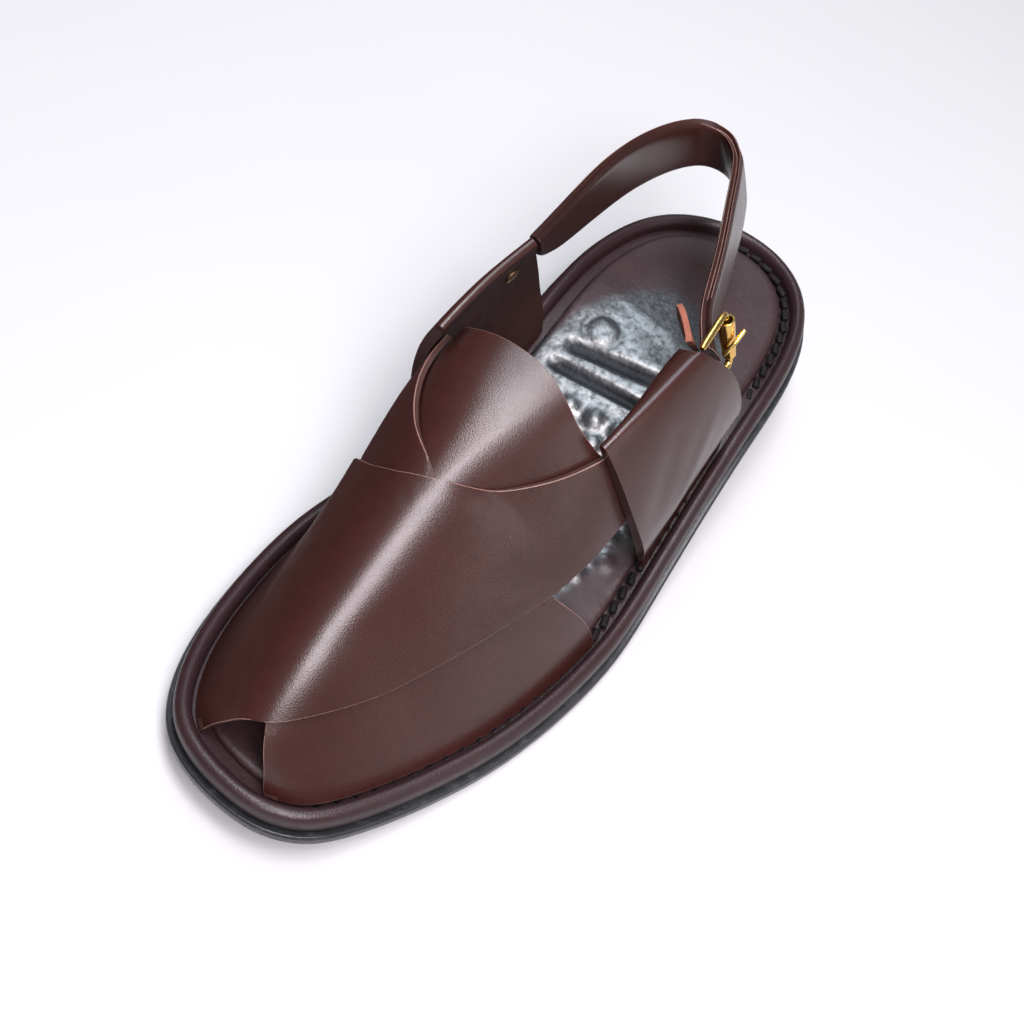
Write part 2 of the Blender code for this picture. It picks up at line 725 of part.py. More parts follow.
def quarter_section(front_edge, rear_edge, share, lateral):
    """Loop round a quarter's wall at a share of its length: up outside, over the fold, down inside."""
    outer, inner = [], []
    rise_count = len(front_edge)
    full_swell = LATERAL_SWELL * shoe_smooth(share) if lateral else 0.0
    for index in range(rise_count):
        station, girth = front_edge[index] * (1.0 - share) + rear_edge[index] * share
        foot = feather_point(station, lateral)
        height = last_point(station, girth)[2] - foot[2]
        up = shoe_smooth((height - QUARTER_RISE_START) / (QUARTER_RISE_END - QUARTER_RISE_START))
        low = QUARTER_STANDOFF * up
        wall = QUARTER_BASE_WALL + (QUARTER_TOP_WALL - QUARTER_BASE_WALL) * up
        swell = full_swell * shoe_smooth((index / (rise_count - 1) - SWELL_START) / (1.0 - SWELL_START))
        outer.append(over_last(station, girth, low + wall))
        inner.append(over_last(station, girth, low - swell))
    axis = 0.5 * (outer[-1] + inner[-1])
    side = 0.5 * (outer[-1] - inner[-1])
    radius = np.linalg.norm(side)
    climb = outer[-1] - outer[-2]
    climb = climb - side * np.dot(climb, side) / radius ** 2
    climb = climb / np.linalg.norm(climb) * min(radius, FOLD_RISE)
    fold = []
    for step in range(1, FOLD_STEPS):
        turn = math.pi * step / FOLD_STEPS
        fold.append(axis + side * math.cos(turn) + climb * math.sin(turn))
    return outer + fold + inner[::-1]


def build_quarter(name, table_rows, lateral, material):
    """Folded leather loop that rises from the channel beside the instep."""
    table = rows_of(table_rows)
    front_edge = graded_curve([row[0:2] for row in table])
    rear_edge = graded_curve([row[2:4] for row in table])
    sections = [
        quarter_section(front_edge, rear_edge, step / QUARTER_ALONG, lateral)
        for step in range(QUARTER_ALONG + 1)
    ]
    return make_sheet(name, sections, material)


def graded_curve(points):
    """Places up an edge, close together near the sole where the wall turns most."""
    count = (len(points) - 1) * QUARTER_SPLIT_UP
    spans = len(points) - 1
    return [spline(points, spans * (step / count) ** QUARTER_GRADING) for step in range(count + 1)]


BACK_STRAP_TABLE = rows_of(BACK_STRAP_ROWS)


def strap_frame(table, row):
    """Top point, direction down to the bottom edge and outward direction at a row of a strap."""
    x, y, z, lean_x, lean_y, height = spline(table, row)
    top = np.array([x, y, z])
    down = np.array([lean_x, lean_y, -height])
    ahead = spline(table, row + BACK_STRAP_STEP)[0:3]
    behind = spline(table, row - BACK_STRAP_STEP)[0:3]
    outward = np.cross(ahead - behind, down)
    outward = outward / np.linalg.norm(outward)
    away = top[0:2] - np.array(STRAP_LOOP_CENTRE)
    if np.dot(outward[0:2], away) < 0.0:
        outward = -outward
    return top, down, outward


def build_heel_strap(material):
    """Two leaves pressed together, with a groove along the top edge."""
    steps = (len(BACK_STRAP_TABLE) - 1) * BACK_STRAP_SPLIT
    sections = []
    for step in range(steps + 1):
        top, down, outward = strap_frame(BACK_STRAP_TABLE, step / BACK_STRAP_SPLIT)
        sections.append([
            top + down * depth + outward * side * BACK_STRAP_HALF
            for side, depth in BACK_STRAP_SECTION
        ])
    return make_sheet("heel_strap", sections, material)


def build_tab(material):
    """Tan flap at the strap's end, with its free corners cut off."""
    table = rows_of(TAB_ROWS)
    sections = []
    for row in range(len(table)):
        top, down, outward = strap_frame(table, row)
        half = 0.5 * TAB_THICKNESS * outward
        heights = (0.0, 0.5, 1.0)
        section = [top + down * depth + half for depth in heights]
        section += [top + down * depth - half for depth in reversed(heights)]
        sections.append(section)
    return make_sheet("buckle_tab", sections, material)


def rounded_path(points, radius):
    """Polyline whose inner corners are replaced by short curves."""
    path = [points[0]]
    for before, corner, after in zip(points, points[1:], points[2:]):
        back = before - corner
        forth = after - corner
        start = corner + back * min(radius / np.linalg.norm(back), BEND_LIMIT)
        end = corner + forth * min(radius / np.linalg.norm(forth), BEND_LIMIT)
        for step in range(BEND_STEPS + 1):
            share = step / BEND_STEPS
            path.append(
                start * (1.0 - share) ** 2 + corner * 2.0 * share * (1.0 - share) + end * share ** 2
            )
    path.append(points[-1])
    return path


def rod_rings(path, radii, sides=ROUND_SIDES):
    """Rings round a path that keep their turn from one point to the next."""
    rings = []
    side = None
    for index, point in enumerate(path):
        ahead = path[min(index + 1, len(path) - 1)]
        behind = path[max(index - 1, 0)]
        along = (ahead - behind) / np.linalg.norm(ahead - behind)
        if side is None:
            side = np.cross(along, np.array([0.0, 0.0, 1.0]))
        side = side - along * np.dot(side, along)
        side = side / np.linalg.norm(side)
        other = np.cross(along, side)
        turns = [2.0 * math.pi * k / sides for k in range(sides)]
        rings.append([point + radii[index] * (side * math.cos(t) + other * math.sin(t)) for t in turns])
    return rings


def build_rod(name, path, radius, material):
    """Round rod along a path, with softened ends."""
    first = path[0] + (path[1] - path[0]) * ROD_END_STRETCH
    last = path[-1] + (path[-2] - path[-1]) * ROD_END_STRETCH
    full = [path[0], first] + list(path[1:-1]) + [last, path[-1]]
    end = ROD_END_FACE * radius
    radii = [end] + [radius] * (len(full) - 2) + [end]
    return make_lofted(name, rod_rings(full, radii), material, 50.0)


def build_tube(name, start, end, outer, bores, material):
    """Open tube between two points, with its outer and inner radii at both ends."""
    path = [start, end]
    outside = rod_rings(path, outer, TUBE_SIDES)
    inside = rod_rings(path, bores, TUBE_SIDES)
    rings = [outside[0], outside[1], inside[1], inside[0]]
    points = [point for ring in rings for point in ring]
    faces = loft_faces(len(rings), TUBE_SIDES, closed_stack=True)
    return make_object(name, points, faces, material, 50.0)


def build_buckle(material):
    """Bent frame, roller on its rear bar and the prong that closes on the roller."""
    corners = [
        np.array(point)
        for point in (BUCKLE_TOP_START, BUCKLE_TOP_CORNER, BUCKLE_LOW_CORNER, BUCKLE_LOW_START)
    ]
    build_rod("buckle_frame", rounded_path(corners, BUCKLE_BEND), BUCKLE_ROD, material)
    bar = corners[2] - corners[1]
    start = corners[1] + bar * ROLLER_END_SHARE
    end = corners[2] - bar * ROLLER_END_SHARE
    build_tube("buckle_roller", start, end, BUCKLE_ROLLER_RADII, BUCKLE_ROLLER_BORES, material)
    prong = [np.array(point) for point in PRONG_POINTS]
    build_rod("buckle_prong", rounded_path(prong, BUCKLE_BEND), PRONG_RADIUS, material)


def build_rivet(material):
    """Low domed rivet inside the medial quarter."""
    station, girth = RIVET_PLACE
    base = QUARTER_STANDOFF - GAP
    foot = over_last(station, girth, base)
    head = over_last(station, girth, base - RIVET_HEIGHT)
    path = [foot, 0.5 * (foot + head), head]
    radii = (RIVET_RADIUS, RIVET_RADIUS, RIVET_CROWN * RIVET_RADIUS)
    return make_lofted("rivet_medial", rod_rings(path, radii, RIVET_SIDES), material, 50.0)


def main():
    """Clear the scene and build every sub-part."""
    for item in list(bpy.data.objects):
        bpy.data.objects.remove(item)
    upper_leather = make_material("upper_leather", (0.085, 0.024, 0.018), 0.30)
    rim_leather = make_material("rim_leather", (0.045, 0.017, 0.015), 0.42)
    insole_leather = make_material("insole_leather", (0.030, 0.018, 0.018), 0.35)
    black_rubber = make_material("black_rubber", (0.010, 0.010, 0.012), 0.50)
    tan_leather = make_material("tan_leather", (0.42, 0.15, 0.07), 0.70)
    brass = make_material("brass", (0.72, 0.46, 0.12), 0.25, 1.0)
    dark_brass = make_material("dark_brass", (0.20, 0.12, 0.08), 0.40, 1.0)
    build_outsole(black_rubber)
    build_heel_block(black_rubber)
    build_midsole(rim_leather)
    build_insole(insole_leather)
    build_upper(upper_leather)
    build_tongue(upper_leather)
    build_quarter("quarter_lateral", LATERAL_QUARTER_ROWS, True, upper_leather)
    build_quarter("quarter_medial", MEDIAL_QUARTER_ROWS, False, upper_leather)
    build_heel_strap(upper_leather)
    build_tab(tan_leather)
    build_buckle(brass)
    build_rivet(dark_brass)


main()
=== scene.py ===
"""Looks of the peshawari chappal: its finishes, edges, stitches and the studio round the left shoe.

Lengths are metres in the shoe's own frame: toe at -Y, outer side at +X, floor at Z = 0. Tables of
places on the shoe are millimetres, as a maker would measure them, and are named so.
"""

from __future__ import annotations

import logging
import math
from dataclasses import dataclass, field
from enum import Enum
from typing import Callable, Sequence

import bmesh
import bpy
import numpy as np
from mathutils import Matrix, Vector

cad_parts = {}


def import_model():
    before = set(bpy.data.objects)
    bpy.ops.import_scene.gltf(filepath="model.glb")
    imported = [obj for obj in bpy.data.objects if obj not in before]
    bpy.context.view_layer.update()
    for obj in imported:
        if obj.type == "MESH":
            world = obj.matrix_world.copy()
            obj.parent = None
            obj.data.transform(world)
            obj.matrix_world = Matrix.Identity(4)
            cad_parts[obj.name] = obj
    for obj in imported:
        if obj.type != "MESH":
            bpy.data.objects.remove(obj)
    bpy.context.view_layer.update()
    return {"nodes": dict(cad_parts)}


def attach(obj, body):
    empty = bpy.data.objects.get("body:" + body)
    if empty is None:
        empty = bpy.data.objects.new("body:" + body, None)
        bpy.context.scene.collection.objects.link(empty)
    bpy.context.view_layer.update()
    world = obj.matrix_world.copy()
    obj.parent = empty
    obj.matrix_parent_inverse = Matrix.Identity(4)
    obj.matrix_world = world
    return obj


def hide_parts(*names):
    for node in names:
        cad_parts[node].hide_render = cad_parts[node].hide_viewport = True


LOG = logging.getLogger("chappal")
MM = 0.001
BODY = "root"
HOLLOW = "hollow"
CREASE = "crease_edge"
BEVEL_WEIGHT = "bevel_weight_edge"
BEVEL_SEGMENTS = 2
# Width of the light arris bevel, whose colour is partly the lighter cut edge and partly a painted
# highlight
ARRIS_WIDTH = 0.00045

# Limits that sort edges and faces
MERGE_DISTANCE = 0.000002
QUAD_LIMIT = math.radians(50.0)
TINY = 1e-9
STRIP_AREA = 4.0e-5
INWARD = -0.15
UPWARD = 0.45

LOOP_CENTRE_MM = (-16.0, 85.0)
SWELL_POWER = 2.6
FOLD_ENDS = (0.03, 0.97)
FOLD_FADE = 0.6
QUARTER_TURN = 0.5 * math.pi

Pair = tuple[float, float]
Triple = tuple[float, float, float]
Colour = Triple


class Slot(Enum):
    """Material slots of the record."""

    UPPER = "upper_leather"
    RIM = "rim_leather"
    INSOLE = "insole_leather"
    RUBBER = "black_rubber"
    TAN = "tan_leather"
    BRASS = "brass"
    DARK_BRASS = "dark_brass"


# Shared effects


def new_group(name: str, inputs: dict[str, tuple[str, object]], outputs: dict[str, str]):
    """Empty shader group with named sockets.

    Args:
        name: Name of the group.
        inputs: Socket kind and default value by name.
        outputs: Socket kind by name.

    Returns:
        The group, its input node and its output node.
    """
    group = bpy.data.node_groups.new(name, "ShaderNodeTree")
    for label, (kind, default) in inputs.items():
        socket = group.interface.new_socket(name=label, in_out="INPUT", socket_type=kind)
        if default is not None:
            socket.default_value = default
    for label, kind in outputs.items():
        group.interface.new_socket(name=label, in_out="OUTPUT", socket_type=kind)
    return group, group.nodes.new("NodeGroupInput"), group.nodes.new("NodeGroupOutput")


def math_node(tree, operation: str, first, second=None, third=None):
    """Math node whose inputs are sockets or numbers.

    Args:
        tree: Node tree that gets the node.
        operation: Name of the operation.
        first: First socket or number.
        second: Second socket or number.
        third: Third socket or number.

    Returns:
        The output socket.
    """
    node = tree.nodes.new("ShaderNodeMath")
    node.operation = operation
    for index, value in enumerate((first, second, third)):
        if value is None:
            continue
        if isinstance(value, (int, float)):
            node.inputs[index].default_value = value
        else:
            tree.links.new(value, node.inputs[index])
    return node.outputs[0]


def noise_node(tree, vector, scale, detail: float = 3.0, roughness: float = 0.5):
    """Noise value at a scale in cells per metre.

    Args:
        tree: Node tree that gets the node.
        vector: Socket with the place.
        scale: Socket or number.
        detail: Octaves.
        roughness: Weight of the fine octaves.

    Returns:
        The output socket.
    """
    node = tree.nodes.new("ShaderNodeTexNoise")
    node.inputs["Detail"].default_value = detail
    node.inputs["Roughness"].default_value = roughness
    tree.links.new(vector, node.inputs["Vector"])
    if isinstance(scale, (int, float)):
        node.inputs["Scale"].default_value = scale
    else:
        tree.links.new(scale, node.inputs["Scale"])
    return node.outputs[0]


def axes_of(tree, vector):
    """Split a vector into its three values.

    Args:
        tree: Node tree that gets the node.
        vector: Socket to split.

    Returns:
        The output sockets.
    """
    node = tree.nodes.new("ShaderNodeSeparateXYZ")
    tree.links.new(vector, node.inputs[0])
    return node.outputs


def spread(tree, value, low: float, high: float, new_low: float = 0.0, new_high: float = 1.0):
    """Value moved from one range to another and clamped.

    Args:
        tree: Node tree that gets the node.
        value: Socket to move.
        low: Start of the old range.
        high: End of the old range.
        new_low: Start of the new range.
        new_high: End of the new range.

    Returns:
        The output socket.
    """
    node = tree.nodes.new("ShaderNodeMapRange")
    for label, number in (
        ("From Min", low), ("From Max", high), ("To Min", new_low), ("To Max", new_high),
    ):
        node.inputs[label].default_value = number
    tree.links.new(value, node.inputs["Value"])
    return node.outputs["Result"]


def mixed_colour(tree, share, first, second):
    """Mix of two colours, each a socket or a colour.

    Args:
        tree: Node tree that gets the node.
        share: Socket with the share of the second colour.
        first: First colour.
        second: Second colour.

    Returns:
        The output socket.
    """
    node = tree.nodes.new("ShaderNodeMix")
    node.data_type = "RGBA"
    tree.links.new(share, node.inputs["Factor"])
    for label, value in (("A", first), ("B", second)):
        socket = next(s for s in node.inputs if s.name == label and s.type == "RGBA")
        if isinstance(value, tuple):
            socket.default_value = (*value, 1.0)
        else:
            tree.links.new(value, socket)
    return next(s for s in node.outputs if s.type == "RGBA")


def build_grain_group():
    """Pressed leather grain: small cells, hair pores and slow waves, as one height.

    Returns:
        The group.
    """
    group, given, result = new_group(
        "leather_grain",
        {
            "Vector": ("NodeSocketVector", None),
            "Cells": ("NodeSocketFloat", 900.0),
            "Waves": ("NodeSocketFloat", 0.3),
        },
        {"Height": "NodeSocketFloat"},
    )
    cells = group.nodes.new("ShaderNodeTexVoronoi")
    cells.feature = "F1"
    group.links.new(given.outputs["Vector"], cells.inputs["Vector"])
    group.links.new(given.outputs["Cells"], cells.inputs["Scale"])
    hills = spread(group, cells.outputs["Distance"], 0.1, 0.75, 1.0, 0.0)
    fine_ratio, fine_weight, wave_ratio = 2.7, 0.45, 0.12
    fine_scale = math_node(group, "MULTIPLY", given.outputs["Cells"], fine_ratio)
    fine = noise_node(group, given.outputs["Vector"], fine_scale, 2.0, 0.6)
    wave_scale = math_node(group, "MULTIPLY", given.outputs["Cells"], wave_ratio)
    waves = noise_node(group, given.outputs["Vector"], wave_scale, 3.0, 0.55)
    height = math_node(group, "MULTIPLY_ADD", fine, fine_weight, hills)
    height = math_node(group, "MULTIPLY_ADD", waves, given.outputs["Waves"], height)
    group.links.new(height, result.inputs["Height"])
    return group


def build_tone_group():
    """Uneven dye and polish: a colour between two tones, and the same spread as a value.

    Returns:
        The group.
    """
    group, given, result = new_group(
        "hand_polish",
        {
            "Vector": ("NodeSocketVector", None),
            "Size": ("NodeSocketFloat", 30.0),
            "Light": ("NodeSocketColor", (0.1, 0.03, 0.02, 1.0)),
            "Deep": ("NodeSocketColor", (0.05, 0.012, 0.01, 1.0)),
        },
        {"Color": "NodeSocketColor", "Tone": "NodeSocketFloat"},
    )
    clouds = noise_node(group, given.outputs["Vector"], given.outputs["Size"], 4.0, 0.6)
    fleck_ratio, fleck_weight, cloud_weight = 9.0, 0.35, 0.65
    fleck_scale = math_node(group, "MULTIPLY", given.outputs["Size"], fleck_ratio)
    flecks = noise_node(group, given.outputs["Vector"], fleck_scale, 2.0, 0.5)
    tone = math_node(group, "MULTIPLY", clouds, cloud_weight)
    tone = math_node(group, "MULTIPLY_ADD", flecks, fleck_weight, tone)
    tone = spread(group, tone, 0.32, 0.68)
    colour = mixed_colour(group, tone, given.outputs["Deep"], given.outputs["Light"])
    group.links.new(colour, result.inputs["Color"])
    group.links.new(tone, result.inputs["Tone"])
    return group


def build_scuff_group():
    """Fine rubbing marks and dust as a mask.

    Returns:
        The group.
    """
    group, given, result = new_group(
        "rubbed_marks",
        {"Vector": ("NodeSocketVector", None), "Size": ("NodeSocketFloat", 220.0)},
        {"Mask": "NodeSocketFloat"},
    )
    marks = noise_node(group, given.outputs["Vector"], given.outputs["Size"], 6.0, 0.7)
    group.links.new(spread(group, marks, 0.52, 0.78), result.inputs["Mask"])
    return group


class Effects:
    """The shader groups that the finishes share, each built once."""

    def __init__(self) -> None:
        """Build the groups."""
        self.grain = build_grain_group()
        self.tone = build_tone_group()
        self.scuff = build_scuff_group()

    @staticmethod
    def place(tree, group, vector, **values):
        """Put a group in a material.

        Args:
            tree: Node tree of the material.
            group: Shader group.
            vector: Socket with the place.
            **values: Values for the group's other inputs.

        Returns:
            The group node.
        """
        node = tree.nodes.new("ShaderNodeGroup")
        node.node_tree = group
        tree.links.new(vector, node.inputs["Vector"])
        for label, value in values.items():
            node.inputs[label].default_value = value
        return node


def start_material(name: str):
    """New node material.

    Args:
        name: Name of the material.

    Returns:
        The material, its tree, its shader and the socket of the object's coordinates.
    """
    material = bpy.data.materials.new(name)
    material.use_nodes = True
    tree = material.node_tree
    shader = tree.nodes["Principled BSDF"]
    place = tree.nodes.new("ShaderNodeTexCoord").outputs["Object"]
    return material, tree, shader, place


def add_bump(tree, shader, height, depth: float) -> None:
    """Feed a height to the shader's normal.

    Args:
        tree: Node tree of the material.
        shader: Shader that gets the normal.
        height: Socket with the height.
        depth: Depth of a height of 1, in metres.
    """
    bump = tree.nodes.new("ShaderNodeBump")
    bump.inputs["Distance"].default_value = depth
    bump.inputs["Strength"].default_value = 1.0
    tree.links.new(height, bump.inputs["Height"])
    tree.links.new(bump.outputs["Normal"], shader.inputs["Normal"])


@dataclass(frozen=True)
class LeatherFinish:
    """A dyed, polished or raw leather."""

    name: str
    light: Colour
    deep: Colour
    roughness: float
    roughness_spread: float = 0.08
    coat: float = 0.0
    coat_roughness: float = 0.2
    cells: float = 1100.0
    depth: float = 0.00012
    waves: float = 0.3
    cloud_size: float = 28.0
    specular: float = 0.5

    def build(self, effects: Effects):
        """Make the material.

        Args:
            effects: Shared shader groups.

        Returns:
            The material.
        """
        material, tree, shader, place = start_material(self.name)
        tone = effects.place(
            tree, effects.tone, place, Size=self.cloud_size,
            Light=(*self.light, 1.0), Deep=(*self.deep, 1.0),
        )
        tree.links.new(tone.outputs["Color"], shader.inputs["Base Color"])
        rough = spread(
            tree, tone.outputs["Tone"], 0.0, 1.0,
            self.roughness + self.roughness_spread, self.roughness - self.roughness_spread,
        )
        tree.links.new(rough, shader.inputs["Roughness"])
        grain = effects.place(tree, effects.grain, place, Cells=self.cells, Waves=self.waves)
        add_bump(tree, shader, grain.outputs["Height"], self.depth)
        shader.inputs["Coat Weight"].default_value = self.coat
        shader.inputs["Coat Roughness"].default_value = self.coat_roughness
        shader.inputs["Specular IOR Level"].default_value = self.specular
        return material


@dataclass(frozen=True)
class FootbedFinish:
    """Padded bed: glossy black where it is pressed, brown leather around."""

    name: str = "footbed_leather"
    brown_light: Colour = (0.030, 0.0130, 0.0142)
    brown_deep: Colour = (0.016, 0.0068, 0.0078)
    brown_size: float = 40.0
    black: Colour = (0.006, 0.007, 0.009)
    grey: Colour = (0.020, 0.023, 0.028)
    black_size: float = 160.0
    centre_mm: Pair = (-3.0, 20.0)
    half_mm: Pair = (34.0, 78.0)
    roundness: float = 2.4
    wobble_cells: float = 90.0
    wobble: float = 0.25
    border: Pair = (0.98, 1.22)
    hollow_range: Pair = (0.15, 0.75)
    patch_cells: float = 380.0
    patch_range: Pair = (0.36, 0.60)
    patch_least: float = 0.15
    roughness: Pair = (0.46, 0.33)
    specular: Pair = (0.12, 0.5)
    coat_roughness: float = 0.30
    coat_ior: float = 1.8
    grain_cells: float = 620.0
    grain_waves: float = 1.4
    grain_outside: float = 0.35
    grain_depth: float = 0.00009

    def build(self, effects: Effects):
        """Make the material.

        Args:
            effects: Shared shader groups.

        Returns:
            The material.
        """
        material, tree, shader, place = start_material(self.name)
        axes = axes_of(tree, place)
        terms = []
        for axis in (0, 1):
            moved = math_node(tree, "SUBTRACT", axes[axis], self.centre_mm[axis] * MM)
            share = math_node(tree, "DIVIDE", moved, self.half_mm[axis] * MM)
            size = math_node(tree, "ABSOLUTE", share)
            terms.append(math_node(tree, "POWER", size, self.roundness))
        reach = math_node(tree, "ADD", terms[0], terms[1])
        wobble = noise_node(tree, place, self.wobble_cells, 3.0)
        reach = math_node(tree, "MULTIPLY_ADD", wobble, self.wobble, reach)
        pressed = spread(tree, reach, *self.border, 1.0, 0.0)
        brown = effects.place(
            tree, effects.tone, place, Size=self.brown_size,
            Light=(*self.brown_light, 1.0), Deep=(*self.brown_deep, 1.0),
        )
        black = effects.place(
            tree, effects.tone, place, Size=self.black_size,
            Light=(*self.grey, 1.0), Deep=(*self.black, 1.0),
        )
        colour = mixed_colour(tree, pressed, brown.outputs["Color"], black.outputs["Color"])
        tree.links.new(colour, shader.inputs["Base Color"])
        hollow = tree.nodes.new("ShaderNodeAttribute")
        hollow.attribute_name = HOLLOW
        proud = spread(tree, hollow.outputs["Fac"], *self.hollow_range, 1.0, 0.0)
        patches = noise_node(tree, place, self.patch_cells, 3.0, 0.6)
        patches = spread(tree, patches, *self.patch_range, self.patch_least, 1.0)
        gloss = math_node(tree, "MULTIPLY", math_node(tree, "MULTIPLY", pressed, proud), patches)
        rough = spread(tree, gloss, 0.0, 1.0, *self.roughness)
        tree.links.new(rough, shader.inputs["Roughness"])
        tree.links.new(gloss, shader.inputs["Coat Weight"])
        specular = spread(tree, proud, 0.0, 1.0, *self.specular)
        tree.links.new(specular, shader.inputs["Specular IOR Level"])
        shader.inputs["Coat Roughness"].default_value = self.coat_roughness
        shader.inputs["Coat IOR"].default_value = self.coat_ior
        grain = effects.place(
            tree, effects.grain, place, Cells=self.grain_cells, Waves=self.grain_waves
        )
        share = spread(tree, pressed, 0.0, 1.0, self.grain_outside, 1.0)
        height = math_node(tree, "MULTIPLY", grain.outputs["Height"], share)
        add_bump(tree, shader, height, self.grain_depth)
        return material


@dataclass(frozen=True)
class RubberFinish:
    """Moulded rubber with fine mould lines and, underneath, a shallow tread."""

    name: str
    colour: Colour
    roughness: float
    line_gap: float = 0.0
    tread_gap: float = 0.006
    tread_slope: float = 0.6
    tread_rise: float = 5.0
    below_range: Pair = (-0.6, -0.9)
    depth: float = 0.0001
    dust_size: float = 260.0
    dust_gain: float = 3.2
    dust_lift: float = 0.008

    def build(self, effects: Effects):
        """Make the material.

        Args:
            effects: Shared shader groups.

        Returns:
            The material.
        """
        material, tree, shader, place = start_material(self.name)
        marks = effects.place(tree, effects.scuff, place, Size=self.dust_size)
        dusty = tuple(self.dust_gain * channel + self.dust_lift for channel in self.colour)
        colour = mixed_colour(tree, marks.outputs["Mask"], self.colour, dusty)
        tree.links.new(colour, shader.inputs["Base Color"])
        rough = spread(tree, marks.outputs["Mask"], 0.0, 1.0, self.roughness, self.roughness + 0.2)
        tree.links.new(rough, shader.inputs["Roughness"])
        height = noise_node(tree, place, 1500.0, 2.0)
        axes = axes_of(tree, place)
        if self.line_gap:
            turn = math_node(tree, "MULTIPLY", axes[2], 2.0 * math.pi / self.line_gap)
            line = spread(tree, math_node(tree, "COSINE", turn), 0.93, 1.0, 0.0, -3.0)
            height = math_node(tree, "ADD", height, line)
        normal = tree.nodes.new("ShaderNodeNewGeometry").outputs["Normal"]
        below = spread(tree, axes_of(tree, normal)[2], *self.below_range)
        across = math_node(tree, "ABSOLUTE", axes[0])
        chevron = math_node(tree, "MULTIPLY_ADD", across, self.tread_slope, axes[1])
        turn = math_node(tree, "MULTIPLY", chevron, 2.0 * math.pi / self.tread_gap)
        ribs = spread(tree, math_node(tree, "SINE", turn), -0.3, 0.3, 0.0, self.tread_rise)
        height = math_node(tree, "MULTIPLY_ADD", ribs, below, height)
        add_bump(tree, shader, height, self.depth)
        return material


@dataclass(frozen=True)
class MetalFinish:
    """Plated metal, brightest where it is rubbed."""

    name: str
    bright: Colour
    dull: Colour
    roughness: float
    roughness_spread: float = 0.12
    depth: float = 0.00006

    def build(self, effects: Effects):
        """Make the material.

        Args:
            effects: Shared shader groups.

        Returns:
            The material.
        """
        material, tree, shader, place = start_material(self.name)
        shader.inputs["Metallic"].default_value = 1.0
        tone = effects.place(
            tree, effects.tone, place, Size=260.0,
            Light=(*self.bright, 1.0), Deep=(*self.dull, 1.0),
        )
        tree.links.new(tone.outputs["Color"], shader.inputs["Base Color"])
        dullest = self.roughness + self.roughness_spread
        rough = spread(tree, tone.outputs["Tone"], 0.0, 1.0, dullest, self.roughness)
        tree.links.new(rough, shader.inputs["Roughness"])
        add_bump(tree, shader, noise_node(tree, place, 900.0, 3.0), self.depth)
        return material


class Finishes:
    """Every finish of the shoe, built once."""

    def __init__(self) -> None:
        """Build the shared groups and then the materials."""
        effects = Effects()
        self.upper = LeatherFinish(
            "polished_oxblood", (0.034, 0.0100, 0.0084), (0.022, 0.0063, 0.0053), 0.30, 0.03,
            coat=0.10, coat_roughness=0.18, cells=2300.0, depth=0.000022, waves=0.12,
            specular=0.42,
        ).build(effects)
        self.lining = LeatherFinish(
            "upper_lining", (0.032, 0.011, 0.009), (0.019, 0.0065, 0.006), 0.55,
            cells=1800.0, depth=0.00005, specular=0.2,
        ).build(effects)
        # Light tan arris finish: partly the lighter colour of the cut edge, partly a painted
        # highlight along the rounded edge
        self.arris = LeatherFinish(
            "cut_edge_with_painted_highlight", (0.23, 0.128, 0.104), (0.125, 0.062, 0.051), 0.38,
            coat=0.2, cells=3000.0, depth=0.00004, cloud_size=120.0,
        ).build(effects)
        self.cut_edge = LeatherFinish(
            "dyed_cut_edge", (0.062, 0.029, 0.024), (0.033, 0.013, 0.011), 0.50,
            cells=3000.0, depth=0.00008, cloud_size=160.0, specular=0.3,
        ).build(effects)
        self.rim = LeatherFinish(
            "wrapped_rim_leather", (0.026, 0.0125, 0.0138), (0.0145, 0.0066, 0.0082), 0.38,
            coat=0.05, coat_roughness=0.3, cells=1700.0, depth=0.00005, waves=0.7,
            specular=0.30,
        ).build(effects)
        self.thread = LeatherFinish(
            "waxed_thread", (0.008, 0.0055, 0.007), (0.003, 0.002, 0.003), 0.5,
            cells=4000.0, depth=0.0001, cloud_size=300.0, specular=0.2,
        ).build(effects)
        self.tan = LeatherFinish(
            "raw_tan_leather", (0.31, 0.107, 0.070), (0.20, 0.062, 0.040), 0.66,
            cells=1900.0, depth=0.00010, cloud_size=80.0, specular=0.3,
        ).build(effects)
        self.footbed = FootbedFinish().build(effects)
        self.outsole = RubberFinish(
            "outsole_rubber", (0.010, 0.011, 0.013), 0.36
        ).build(effects)
        self.heel = RubberFinish(
            "stacked_heel_rubber", (0.011, 0.011, 0.012), 0.45, line_gap=0.005
        ).build(effects)
        self.brass = MetalFinish(
            "polished_brass", (0.86, 0.60, 0.20), (0.58, 0.34, 0.09), 0.18
        ).build(effects)
        self.dark_brass = MetalFinish(
            "antiqued_brass", (0.42, 0.26, 0.14), (0.13, 0.075, 0.045), 0.34
        ).build(effects)


# Mesh tools


def pick_only(part) -> None:
    """Select one object and make it active.

    Args:
        part: Object to select.
    """
    bpy.ops.object.select_all(action="DESELECT")
    part.select_set(True)
    bpy.context.view_layer.objects.active = part


def edit_all(part) -> None:
    """Enter edit mode on one object with everything selected.

    Args:
        part: Object to edit.
    """
    pick_only(part)
    bpy.ops.object.mode_set(mode="EDIT")
    bpy.ops.mesh.select_all(action="SELECT")


def leave_edit() -> None:
    """Go back to object mode."""
    bpy.ops.object.mode_set(mode="OBJECT")


def apply_all(part) -> None:
    """Apply every modifier of an object.

    Args:
        part: Object that has the modifiers.
    """
    pick_only(part)
    for modifier in list(part.modifiers):
        bpy.ops.object.modifier_apply(modifier=modifier.name)


def smooth_by_angle(part, degrees: float) -> None:
    """Shade smooth except over edges that turn by more than an angle."""
    pick_only(part)
    bpy.ops.object.shade_smooth_by_angle(angle=math.radians(degrees))


